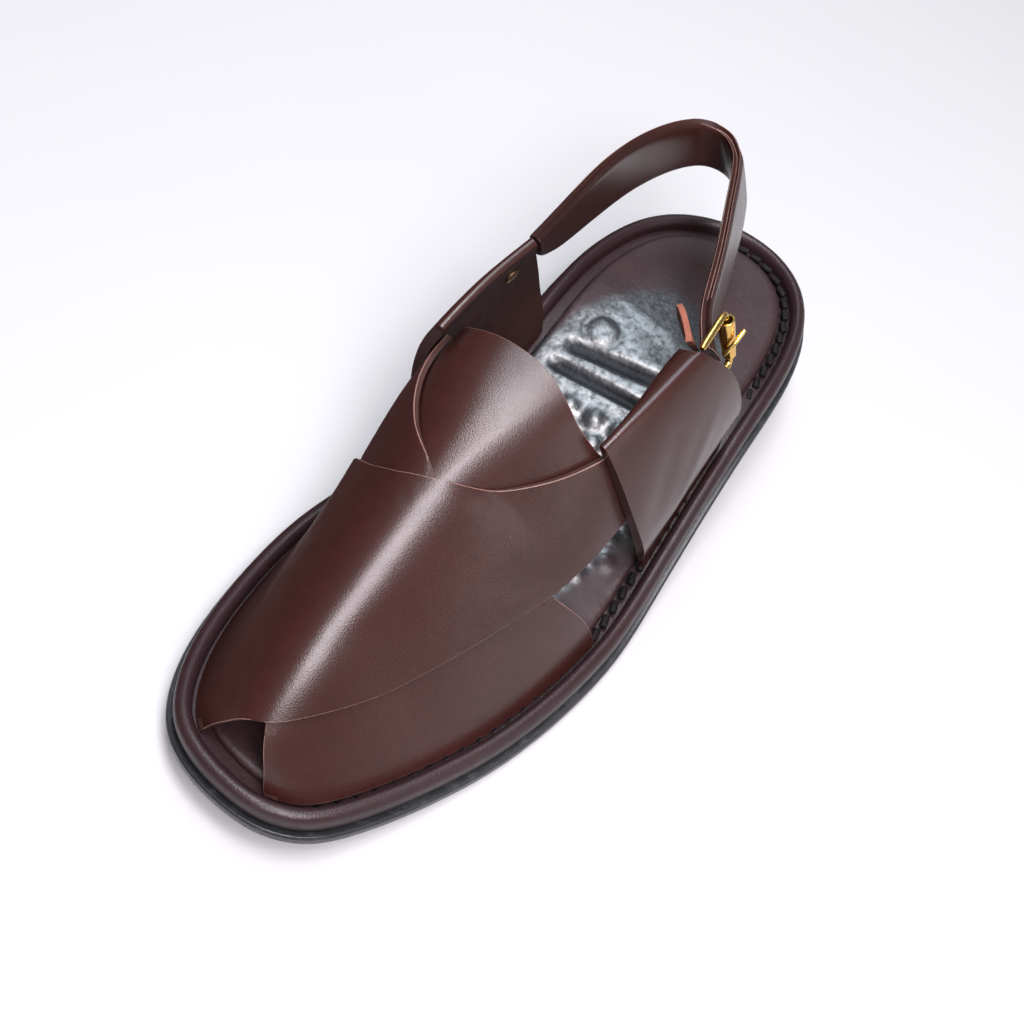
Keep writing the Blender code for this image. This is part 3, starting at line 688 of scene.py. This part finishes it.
def finish_piece(part, slot: Slot, replaces: Sequence[str] = ()) -> None:
    """Tie a finished piece to the shoe.

    Args:
        part: Finished object.
        slot: Record slot of its finish.
        replaces: CAD nodes that it stands for.
    """
    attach(part, BODY)
    if replaces:
        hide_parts(*replaces)
    faces = len(part.data.polygons)
    LOG.info("%s: %d faces, slot %s", part.name, faces, slot.value)


def merged_copy(node, name: str, *finishes: bpy.types.Material):
    """Copy of a CAD node with its doubles merged and its quads restored.

    Args:
        node: Node's object.
        name: Name of the copy.
        *finishes: Materials of the copy, in the order of their index.

    Returns:
        The copy.
    """
    copy = bpy.data.objects.new(name, node.data.copy())
    bpy.context.collection.objects.link(copy)
    copy.data.materials.clear()
    edit_all(copy)
    bpy.ops.mesh.remove_doubles(threshold=MERGE_DISTANCE)
    bpy.ops.mesh.customdata_custom_splitnormals_clear()
    bpy.ops.mesh.tris_convert_to_quads(face_threshold=QUAD_LIMIT, shape_threshold=QUAD_LIMIT)
    leave_edit()
    for layer in list(copy.data.uv_layers):
        copy.data.uv_layers.remove(layer)
    for finish in finishes:
        copy.data.materials.append(finish)
    return copy


def turns(edge, degrees: float) -> bool:
    """Whether two faces meet at an edge and turn there by more than an angle."""
    return len(edge.link_faces) == 2 and edge.calc_face_angle() > math.radians(degrees)


def crease_edges(part, degrees: float) -> None:
    """Crease the edges that turn by more than an angle, so that subdivision keeps them.

    Args:
        part: Object to crease.
        degrees: Turn of a sharp edge.
    """
    mesh = bmesh.new()
    mesh.from_mesh(part.data)
    layer = mesh.edges.layers.float.get(CREASE) or mesh.edges.layers.float.new(CREASE)
    for edge in mesh.edges:
        sharp = len(edge.link_faces) != 2 or turns(edge, degrees)
        edge[layer] = 1.0 if sharp else 0.0
        edge.smooth = not sharp
    mesh.to_mesh(part.data)
    mesh.free()


def subdivide(part, levels: int) -> None:
    """Apply a subdivision surface.

    Args:
        part: Object to subdivide.
        levels: Number of subdivisions.
    """
    modifier = part.modifiers.new("soft_form", "SUBSURF")
    modifier.levels = modifier.render_levels = levels
    apply_all(part)


def bevel_edges(part, width: float, degrees: float) -> None:
    """Round the edges that turn by more than an angle.

    Args:
        part: Object to bevel.
        width: Width of the bevel.
        degrees: Turn of a sharp edge.
    """
    modifier = part.modifiers.new("worn_edge", "BEVEL")
    modifier.width = width
    modifier.segments = BEVEL_SEGMENTS
    modifier.limit_method = "ANGLE"
    modifier.angle_limit = math.radians(degrees)
    modifier.use_clamp_overlap = True
    apply_all(part)


def bevel_marked(part) -> None:
    """Bevel the edges that carry a weight and colour the new faces with the light arris finish:
    partly the lighter colour of the cut edge, partly a painted highlight along the rounded edge.

    Args:
        part: Object to bevel.
    """
    modifier = part.modifiers.new("arris_with_painted_highlight", "BEVEL")
    modifier.width = ARRIS_WIDTH
    modifier.segments = BEVEL_SEGMENTS
    modifier.limit_method = "WEIGHT"
    modifier.material = Part.ARRIS.value
    modifier.use_clamp_overlap = True
    apply_all(part)


def edge_strips(part, degrees: float) -> set[int]:
    """Faces of a cut edge: those with sharp edges on two sides or more.

    Args:
        part: Object before its subdivision.
        degrees: Turn of a sharp edge.

    Returns:
        Indices of the faces.
    """
    mesh = bmesh.new()
    mesh.from_mesh(part.data)
    found = set()
    for face in mesh.faces:
        sharp = sum(turns(edge, degrees) for edge in face.edges)
        if sharp >= 2 and face.calc_area() < STRIP_AREA:
            found.add(face.index)
    mesh.free()
    return found


def vertex_values(mesh, name: str) -> np.ndarray:
    """Places or normals of a mesh's vertices.

    Args:
        mesh: Mesh to read.
        name: Name of the value, co or normal.

    Returns:
        An array of three columns.
    """
    values = np.empty(len(mesh.vertices) * 3)
    mesh.vertices.foreach_get(name, values)
    return values.reshape(-1, 3)


@dataclass(frozen=True)
class Fold:
    """A soft trough or ridge along a line on the leather."""

    start_mm: Triple
    end_mm: Triple
    half_width: float
    rise: float

    def heights(self, places: np.ndarray) -> np.ndarray:
        """Height of the fold at each place.

        Args:
            places: Points as an array of three columns.

        Returns:
            Heights in metres.
        """
        start = np.array(self.start_mm) * MM
        along = np.array(self.end_mm) * MM - start
        share = np.clip((places - start) @ along / (along @ along), 0.0, 1.0)
        distance = np.linalg.norm(places - start - share[:, None] * along, axis=1)
        fade = np.sin(np.pi * np.clip(share, *FOLD_ENDS)) ** FOLD_FADE
        return self.rise * np.exp(-((distance / self.half_width) ** 2)) * fade


def press_folds(part, folds: Sequence[Fold], away: Callable[[np.ndarray], np.ndarray]) -> None:
    """Move a piece's points by its folds, both faces of the leather alike.

    Args:
        part: Object to shape.
        folds: Troughs and ridges.
        away: Gives the outward direction of each point.
    """
    places = vertex_values(part.data, "co")
    rise = sum(fold.heights(places) for fold in folds)
    places = places + away(places) * rise[:, None]
    part.data.vertices.foreach_set("co", places.ravel())
    part.data.update()


def from_axis(x: float, z: float) -> Callable[[np.ndarray], np.ndarray]:
    """Outward directions from an axis along Y.

    Args:
        x: Place of the axis.
        z: Height of the axis.

    Returns:
        A function from points to unit directions.
    """

    def away(places: np.ndarray) -> np.ndarray:
        """Unit directions from the axis.

        Args:
            places: Points as an array of three columns.

        Returns:
            Directions as an array of three columns.
        """
        out = np.column_stack([places[:, 0] - x, np.zeros(len(places)), places[:, 2] - z])
        return out / np.maximum(np.linalg.norm(out, axis=1), TINY)[:, None]

    return away


# Sub-assemblies


def swell(reach: np.ndarray, steepness: float) -> np.ndarray:
    """Soft profile that is 1 in the middle and falls to 0 outside a reach of about 1."""
    return np.exp(-((steepness * reach) ** SWELL_POWER))


@dataclass
class Sole:
    """Outsole, stacked heel, wrapped rim and footbed."""

    nodes: dict
    finishes: Finishes
    rubber_sharp: float = 28.0
    edge_width: float = 0.0004
    rim_sharp: float = 62.0
    voxel: float = 0.0009
    even_steps: int = 12
    facing_range: Pair = (0.6, 0.9)
    ring_mm: Pair = (-21.6, 63.5)
    ring_radius: float = 0.0066
    ring_depth: float = 0.00045
    ring_width: float = 0.26
    button_height: float = 0.00025
    groove_lines_mm: tuple[tuple[float, float, float, float, float], ...] = (
        (-30.0, 51.0, 28.0, 65.0, 2.6), (-30.0, 42.2, 28.0, 51.0, 2.0),
    )
    groove_depth: float = 0.0015
    groove_fade: float = 12.0
    dome_radius: float = 0.0050
    dome_height: float = 0.0012
    unevenness: float = 0.00010
    dome_rows_mm: tuple[float, ...] = (35.0, 26.5, 18.0, 9.5, 1.0, -7.5, -16.0)
    dome_gap_mm: float = 9.8
    dome_columns: int = 3
    dome_middle_mm: float = -3.0
    dome_slant: float = 0.15
    heel_centre: Pair = (0.0, 0.075)
    channel_offset: float = 0.0016
    channel_steps: int = 6
    stitch_radius: float = 0.0013
    stitch_length: float = 0.0048
    stitch_round: float = 0.0006
    stitch_gap: float = 0.0060
    stitch_arc: Pair = (-38.0, 100.0)
    stitch_lift: float = 0.0009
    stitch_lean: float = 0.22

    def build(self) -> None:
        """Build every piece of the sole."""
        self.build_rubber()
        self.build_rim()
        self.build_footbed()
        self.build_stitches()

    def build_rubber(self) -> None:
        """Outsole and heel block with softened edges."""
        for name, label, finish in (
            ("outsole", "outsole_sheet", self.finishes.outsole),
            ("heel_block", "heel_stack", self.finishes.heel),
        ):
            piece = merged_copy(self.nodes[name], label, finish)
            crease_edges(piece, self.rubber_sharp)
            subdivide(piece, 1)
            bevel_edges(piece, self.edge_width, self.rubber_sharp)
            smooth_by_angle(piece, 40.0)
            finish_piece(piece, Slot.RUBBER, [name])

    def build_rim(self) -> None:
        """Leather-wrapped band and bead."""
        piece = merged_copy(self.nodes["midsole"], "wrapped_rim", self.finishes.rim)
        crease_edges(piece, self.rim_sharp)
        subdivide(piece, 2)
        smooth_by_angle(piece, 55.0)
        finish_piece(piece, Slot.RIM, ["midsole"])

    def pressed(self, x: np.ndarray, y: np.ndarray) -> np.ndarray:
        """Relief of the footbed.

        Args:
            x: Places across, in metres.
            y: Places along, in metres.

        Returns:
            Heights over the plain bed.
        """
        rise = np.zeros(len(x))
        for row, line in enumerate(self.dome_rows_mm):
            shift = 0.5 * self.dome_gap_mm * (row % 2)
            for column in range(-self.dome_columns, self.dome_columns + 1):
                cx = (self.dome_middle_mm + shift + column * self.dome_gap_mm) * MM
                cy = (line + self.dome_slant * (cx / MM)) * MM
                rise += self.dome_height * swell(np.hypot(x - cx, y - cy) / self.dome_radius, 1.45)
        for x0, y0, x1, y1, half in self.groove_lines_mm:
            along = np.array([x1 - x0, y1 - y0])
            length = np.linalg.norm(along)
            side = np.array([-along[1], along[0]]) / length
            offset = np.abs((x / MM - x0) * side[0] + (y / MM - y0) * side[1]) / half
            share = ((x / MM - x0) * along[0] + (y / MM - y0) * along[1]) / length ** 2
            ends = np.clip(np.minimum(share, 1.0 - share) * self.groove_fade, 0.0, 1.0)
            rise -= self.groove_depth * swell(offset, 0.95) * ends
        reach = np.hypot(x - self.ring_mm[0] * MM, y - self.ring_mm[1] * MM) / self.ring_radius
        rise -= self.ring_depth * np.exp(-(((reach - 1.0) / self.ring_width) ** 2))
        rise += self.button_height * swell(reach, 1.4)
        hollows = np.sin(x / 0.0061 + 1.3 * np.sin(y / 0.0083)) * np.sin(y / 0.0071 + x / 0.0127)
        return rise + self.unevenness * hollows

    def build_footbed(self) -> None:
        """Padded bed with a generic massage pattern."""
        piece = merged_copy(self.nodes["insole"], "footbed")
        piece.data.remesh_voxel_size = self.voxel
        pick_only(piece)
        bpy.ops.object.voxel_remesh()
        modifier = piece.modifiers.new("even_bed", "SMOOTH")
        modifier.factor = 0.5
        modifier.iterations = self.even_steps
        apply_all(piece)
        mesh = piece.data
        places, normals = vertex_values(mesh, "co"), vertex_values(mesh, "normal")
        low, high = self.facing_range
        up = np.clip((normals[:, 2] - low) / (high - low), 0.0, 1.0)
        relief = up * self.pressed(places[:, 0], places[:, 1])
        places[:, 2] += relief
        mesh.vertices.foreach_set("co", places.ravel())
        mesh.update()
        marks = mesh.attributes.new(HOLLOW, "FLOAT", "POINT")
        marks.data.foreach_set("value", np.clip(-relief / self.groove_depth, 0.0, 1.0))
        mesh.materials.clear()
        mesh.materials.append(self.finishes.footbed)
        smooth_by_angle(piece, 60.0)
        finish_piece(piece, Slot.INSOLE, ["insole"])

    def channel_points(self) -> list[tuple[Vector, float]]:
        """Evenly spaced places in the channel round the heel.

        Returns:
            Each place with its heading.
        """
        points = np.array([v.co for v in self.nodes["insole"].data.vertices])
        centre = np.array(self.heel_centre)
        line = []
        for angle in np.radians(np.arange(*self.stitch_arc, 1.0)):
            toward = np.array([math.cos(angle), math.sin(angle)])
            reach = (points[:, 0:2] - centre) @ toward
            best = points[np.argmax(reach)]
            line.append(np.array([*(best[0:2] + toward * self.channel_offset), best[2]]))
        smooth = np.array(line)
        for _ in range(self.channel_steps):
            smooth[1:-1] = 0.25 * smooth[:-2] + 0.5 * smooth[1:-1] + 0.25 * smooth[2:]
        steps = np.concatenate([[0.0], np.cumsum(np.linalg.norm(np.diff(smooth, axis=0), axis=1))])
        found = []
        for at in np.arange(0.5 * self.stitch_gap, steps[-1], self.stitch_gap):
            place = [np.interp(at, steps, smooth[:, k]) for k in range(3)]
            ahead = [np.interp(at + 0.001, steps, smooth[:, k]) for k in range(3)]
            found.append((Vector(place), math.atan2(ahead[1] - place[1], ahead[0] - place[0])))
        return found

    def build_stitches(self) -> None:
        """Thick waxed stitches in the channel round the heel."""
        bpy.ops.object.select_all(action="DESELECT")
        bpy.ops.mesh.primitive_cylinder_add(
            vertices=10, radius=self.stitch_radius, depth=self.stitch_length, location=(0, 0, 0)
        )
        stitch = bpy.context.object
        stitch.name = "heel_stitches"
        edit_all(stitch)
        bpy.ops.transform.rotate(value=QUARTER_TURN, orient_axis="Y", center_override=(0.0, 0.0, 0.0))
        bpy.ops.mesh.bevel(offset=self.stitch_round, segments=2)
        leave_edit()
        mesh = bmesh.new()
        pattern = stitch.data.copy()
        for place, heading in self.channel_points():
            start = len(mesh.verts)
            mesh.from_mesh(pattern)
            mesh.verts.ensure_lookup_table()
            turn = Matrix.Translation(place + Vector((0.0, 0.0, self.stitch_lift)))
            turn = turn @ Matrix.Rotation(heading + self.stitch_lean, 4, "Z")
            bmesh.ops.transform(mesh, matrix=turn, verts=mesh.verts[start:])
        mesh.to_mesh(stitch.data)
        mesh.free()
        bpy.data.meshes.remove(pattern)
        stitch.data.materials.append(self.finishes.thread)
        smooth_by_angle(stitch, 50.0)
        finish_piece(stitch, Slot.RIM)


class Part(Enum):
    """Material slots of a leather wall."""

    FACE = 0
    # Slot of the light arris finish: partly the lighter cut edge, partly a painted highlight along
    # the edge
    ARRIS = 1
    LINING = 2
    EDGE = 3


@dataclass(frozen=True)
class Wall:
    """One leather wall of the upper."""

    node: str
    label: str
    axis_mm: Pair
    folds: tuple[Fold, ...] = ()
    sharp: float = 38.0
    cut: bool = True
    lined: bool = True
    levels: int = 2


@dataclass
class Straps:
    """Crossed straps, tongue and the two folded quarters."""

    nodes: dict
    finishes: Finishes
    fold_round: float = 0.0003
    walls: tuple[Wall, ...] = (
        Wall("upper", "crossed_straps", (-6.0, 15.0), (
            Fold((-26.0, -74.0, 52.0), (-12.0, -58.0, 72.0), 0.0040, -0.0005),
            Fold((-30.0, -88.0, 40.0), (-14.0, -70.0, 62.0), 0.0050, 0.0004),
            Fold((20.0, -66.0, 56.0), (30.0, -44.0, 56.0), 0.0050, -0.0004),
            Fold((-2.0, -108.0, 50.0), (10.0, -80.0, 56.0), 0.0060, -0.0003),
            Fold((24.0, -62.0, 44.0), (34.0, -36.0, 44.0), 0.0040, 0.0004),
        )),
        Wall("tongue", "tongue_strap", (-6.0, 15.0)),
        Wall("quarter_lateral", "lateral_quarter_leather", (-6.0, 40.0), (
            Fold((36.0, 34.0, 70.0), (45.0, 8.0, 34.0), 0.0040, 0.0006),
            Fold((30.0, 14.0, 76.0), (42.0, -2.0, 44.0), 0.0060, -0.0005),
        ), sharp=62.0, cut=False, lined=False),
        Wall("quarter_medial", "medial_quarter_leather", (-6.0, 40.0), (
            Fold((-42.0, 20.0, 72.0), (-46.0, 0.0, 40.0), 0.0050, -0.0005),
        ), sharp=62.0, cut=False),
    )

    def build(self) -> None:
        """Build every strap."""
        for wall in self.walls:
            self.build_wall(wall)

    def build_wall(self, wall: Wall) -> None:
        """Smooth a leather wall, colour its edges and lining, and press its folds.

        Args:
            wall: The wall's node, name and folds.
        """
        dyed = self.finishes
        piece = merged_copy(
            self.nodes[wall.node], wall.label, dyed.upper, dyed.arris, dyed.lining, dyed.cut_edge
        )
        away = from_axis(wall.axis_mm[0] * MM, wall.axis_mm[1] * MM)
        strips = edge_strips(piece, wall.sharp) if wall.cut else set()
        for face in piece.data.polygons:
            facing = float(np.dot(away(np.array([face.center]))[0], np.array(face.normal)))
            inside = wall.lined and facing < INWARD
            part = Part.EDGE if face.index in strips else (Part.LINING if inside else Part.FACE)
            face.material_index = part.value
        crease_edges(piece, wall.sharp)
        subdivide(piece, wall.levels)
        if wall.cut:
            # Cut walls get light arris lines: partly the lighter cut edge, partly a painted highlight
            # along the rounded edge
            self.mark_arrises(piece, wall.sharp)
            bevel_marked(piece)
        else:
            bevel_edges(piece, self.fold_round, wall.sharp)
        if wall.folds:
            press_folds(piece, wall.folds, away)
        smooth_by_angle(piece, 50.0)
        finish_piece(piece, Slot.UPPER, [wall.node])

    @staticmethod
    def mark_arrises(part, degrees: float) -> None:
        """Mark the sharp edges between a cut edge and the outer face.

        Args:
            part: Object to mark.
            degrees: Turn of a sharp edge.
        """
        mesh = bmesh.new()
        mesh.from_mesh(part.data)
        layers = mesh.edges.layers.float
        layer = layers.get(BEVEL_WEIGHT) or layers.new(BEVEL_WEIGHT)
        for edge in mesh.edges:
            kinds = {face.material_index for face in edge.link_faces}
            marked = turns(edge, degrees) and kinds == {Part.EDGE.value, Part.FACE.value}
            edge[layer] = 1.0 if marked else 0.0
        mesh.to_mesh(part.data)
        mesh.free()


@dataclass
class BackStrap:
    """Slack strap round the heel, and its tan end inside the buckle."""

    nodes: dict
    finishes: Finishes
    sharp: float = 60.0
    end_sharp: float = 30.0
    end_round: float = 0.0004
    folds: tuple[Fold, ...] = (
        Fold((-34.0, 126.0, 82.0), (-30.0, 130.0, 60.0), 0.0030, -0.0008),
        Fold((-27.0, 131.0, 82.0), (-22.0, 134.0, 60.0), 0.0028, 0.0007),
        Fold((-22.0, 128.0, 82.0), (-15.0, 131.0, 62.0), 0.0028, -0.0007),
        Fold((-17.0, 124.0, 82.0), (-8.0, 126.0, 62.0), 0.0035, 0.0005),
    )

    def build(self) -> None:
        """Build the strap and its end."""
        dyed = self.finishes
        piece = merged_copy(
            self.nodes["heel_strap"], "back_strap", dyed.upper, dyed.arris, dyed.lining, dyed.lining
        )
        for face in piece.data.polygons:
            if face.normal.z > UPWARD:
                face.material_index = Part.EDGE.value
        crease_edges(piece, self.sharp)
        subdivide(piece, 2)
        # The light arris lines along both top edges are partly the lighter cut edge and partly a
        # painted highlight along the strap's rolled edges
        Straps.mark_arrises(piece, self.sharp)
        bevel_marked(piece)
        press_folds(piece, self.folds, self.outward)
        smooth_by_angle(piece, self.sharp)
        finish_piece(piece, Slot.UPPER, ["heel_strap"])
        end = merged_copy(self.nodes["buckle_tab"], "strap_end", dyed.tan)
        crease_edges(end, self.end_sharp)
        subdivide(end, 2)
        bevel_edges(end, self.end_round, self.end_sharp)
        smooth_by_angle(end, 40.0)
        finish_piece(end, Slot.TAN, ["buckle_tab"])

    @staticmethod
    def outward(places: np.ndarray) -> np.ndarray:
        """Level directions away from the middle of the strap's loop.

        Args:
            places: Points as an array of three columns.

        Returns:
            Directions as an array of three columns.
        """
        x, y = (value * MM for value in LOOP_CENTRE_MM)
        out = np.column_stack([places[:, 0] - x, places[:, 1] - y, np.zeros(len(places))])
        return out / np.maximum(np.linalg.norm(out, axis=1), TINY)[:, None]


@dataclass
class Buckle:
    """Brass frame, roller and prong, and the rivet of the medial quarter."""

    nodes: dict
    finishes: Finishes
    crease: float = 60.0
    sharp: float = 50.0
    edge_round: float = 0.00025

    def build(self) -> None:
        """Build the metal pieces."""
        for node, label in (
            ("buckle_frame", "brass_frame"), ("buckle_prong", "brass_prong"),
            ("buckle_roller", "brass_roller"),
        ):
            self.build_metal(node, label, self.finishes.brass, Slot.BRASS)
        self.build_metal("rivet_medial", "quarter_rivet", self.finishes.dark_brass, Slot.DARK_BRASS)

    def build_metal(self, node: str, label: str, finish, slot: Slot) -> None:
        """Round and soften one metal node.

        Args:
            node: CAD node's name.
            label: New piece's name.
            finish: Its material.
            slot: Record slot.
        """
        piece = merged_copy(self.nodes[node], label, finish)
        crease_edges(piece, self.crease)
        subdivide(piece, 2)
        bevel_edges(piece, self.edge_round, self.sharp)
        smooth_by_angle(piece, self.sharp)
        finish_piece(piece, slot, [node])


# Studio


@dataclass(frozen=True)
class Lamp:
    """A soft studio light that faces the shoe."""

    name: str
    toward: Triple
    distance: float
    size: Pair
    power: float
    colour: Colour = (1.0, 1.0, 1.0)

    def build(self, aim: Vector) -> None:
        """Hang the light.

        Args:
            aim: Point that it faces.
        """
        data = bpy.data.lights.new(self.name, "AREA")
        data.shape = "RECTANGLE"
        data.size, data.size_y = self.size
        data.energy = self.power
        data.color = self.colour
        light = bpy.data.objects.new(self.name, data)
        bpy.context.collection.objects.link(light)
        direction = Vector(self.toward).normalized()
        turn = direction.to_track_quat("Z", "Y").to_matrix().to_4x4()
        light.matrix_world = Matrix.Translation(aim + direction * self.distance) @ turn


@dataclass
class Studio:
    """Pale floor, soft light and the camera at the photograph's angle."""

    azimuth: float = 21.04
    elevation: float = 54.38
    roll: float = 19.96
    distance: float = 0.4899
    focal_pixels: float = 1418.26
    image_pixels: float = 1024.0
    aim: Triple = (-0.00625, 0.0, 0.0)
    floor_colour: Colour = (0.43, 0.43, 0.43)
    floor_shade: Colour = (0.41, 0.41, 0.415)
    floor_size: float = 8.0
    floor_roughness: float = 0.65
    world_strength: float = 0.20
    felt: tuple[Colour, Colour] = ((0.17, 0.075, 0.068), (0.12, 0.050, 0.046))
    flag_size: Pair = (0.10, 0.36)
    flag_place: Triple = (-0.061, -0.03, 0.05)
    lamp_aim: Triple = (0.0, -0.02, 0.05)
    lamps: tuple[Lamp, ...] = field(default_factory=lambda: (
        Lamp("key_softbox", (0.12, -0.04, 0.99), 1.1, (0.28, 0.80), 15.0, (1.0, 0.95, 0.99)),
        Lamp("streak_softbox", (0.40, -0.44, 0.81), 1.2, (0.54, 0.52), 17.0, (1.0, 0.94, 0.99)),
        Lamp("bed_softbox", (-0.28, 0.38, 0.88), 1.2, (0.45, 0.85), 8.2, (0.80, 0.91, 1.0)),
        Lamp("front_softbox", (0.35, -0.90, 0.30), 1.5, (0.9, 0.5), 1.9),
        Lamp("side_softbox", (0.95, 0.15, 0.30), 1.4, (0.5, 0.8), 2.4),
    ))

    def build(self) -> None:
        """Build floor, lights and camera."""
        bpy.ops.object.select_all(action="DESELECT")
        bpy.ops.mesh.primitive_plane_add(size=self.floor_size, location=(0.0, 0.0, 0.0))
        floor = bpy.context.object
        floor.name = "studio_floor"
        material, tree, shader, place = start_material("pale_floor")
        clouds = noise_node(tree, place, 6.0)
        colour = mixed_colour(tree, clouds, self.floor_colour, self.floor_shade)
        tree.links.new(colour, shader.inputs["Base Color"])
        shader.inputs["Roughness"].default_value = self.floor_roughness
        floor.data.materials.append(material)
        self.build_flag()
        world = bpy.data.worlds.new("studio_air")
        world.use_nodes = True
        air = world.node_tree.nodes["Background"]
        air.inputs["Color"].default_value = (1.0, 1.0, 1.0, 1.0)
        air.inputs["Strength"].default_value = self.world_strength
        bpy.context.scene.world = world
        for lamp in self.lamps:
            lamp.build(Vector(self.lamp_aim))
        self.build_camera()
        bpy.context.scene.view_settings.view_transform = "Standard"

    def build_flag(self) -> None:
        """Dark card beside the inner side, which only reflections see."""
        bpy.ops.object.select_all(action="DESELECT")
        bpy.ops.mesh.primitive_plane_add(size=1.0, location=(0.0, 0.0, 0.0))
        card = bpy.context.object
        card.name = "dark_flag"
        edit_all(card)
        bpy.ops.transform.resize(value=(self.flag_size[0], self.flag_size[1], 1.0))
        bpy.ops.transform.rotate(value=QUARTER_TURN, orient_axis="Y", center_override=(0.0, 0.0, 0.0))
        bpy.ops.transform.translate(value=self.flag_place)
        leave_edit()
        material, tree, shader, place = start_material("dark_felt")
        colour = mixed_colour(tree, noise_node(tree, place, 30.0), *self.felt)
        tree.links.new(colour, shader.inputs["Base Color"])
        shader.inputs["Roughness"].default_value = 0.9
        card.data.materials.append(material)
        card.visible_camera = card.visible_diffuse = card.visible_shadow = False
        card.visible_transmission = False

    def build_camera(self) -> None:
        """Camera at the photograph's angle, rolled as the photograph is."""
        azimuth, elevation = math.radians(self.azimuth), math.radians(self.elevation)
        right = Vector((math.cos(azimuth), math.sin(azimuth), 0.0))
        back = Vector((
            math.sin(azimuth) * math.cos(elevation),
            -math.cos(azimuth) * math.cos(elevation),
            math.sin(elevation),
        ))
        up = back.cross(right)
        roll = math.radians(self.roll)
        side = right * math.cos(roll) + up * math.sin(roll)
        top = up * math.cos(roll) - right * math.sin(roll)
        data = bpy.data.cameras.new("photo_camera")
        data.sensor_width = 36.0
        data.sensor_fit = "HORIZONTAL"
        data.lens = data.sensor_width * self.focal_pixels / self.image_pixels
        camera = bpy.data.objects.new("photo_camera", data)
        bpy.context.collection.objects.link(camera)
        spot = Vector(self.aim) + back * self.distance
        camera.matrix_world = Matrix((
            (side.x, top.x, back.x, spot.x),
            (side.y, top.y, back.y, spot.y),
            (side.z, top.z, back.z, spot.z),
            (0.0, 0.0, 0.0, 1.0),
        ))
        bpy.context.scene.camera = camera


def main() -> None:
    """Load the solids, dress them and set up the studio."""
    logging.basicConfig(level=logging.INFO, format="%(name)s: %(message)s")
    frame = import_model()
    nodes = frame["nodes"]
    finishes = Finishes()
    for assembly in (Sole, Straps, BackStrap, Buckle):
        assembly(nodes, finishes).build()
    Studio().build()


if __name__ == "__main__":
    main()
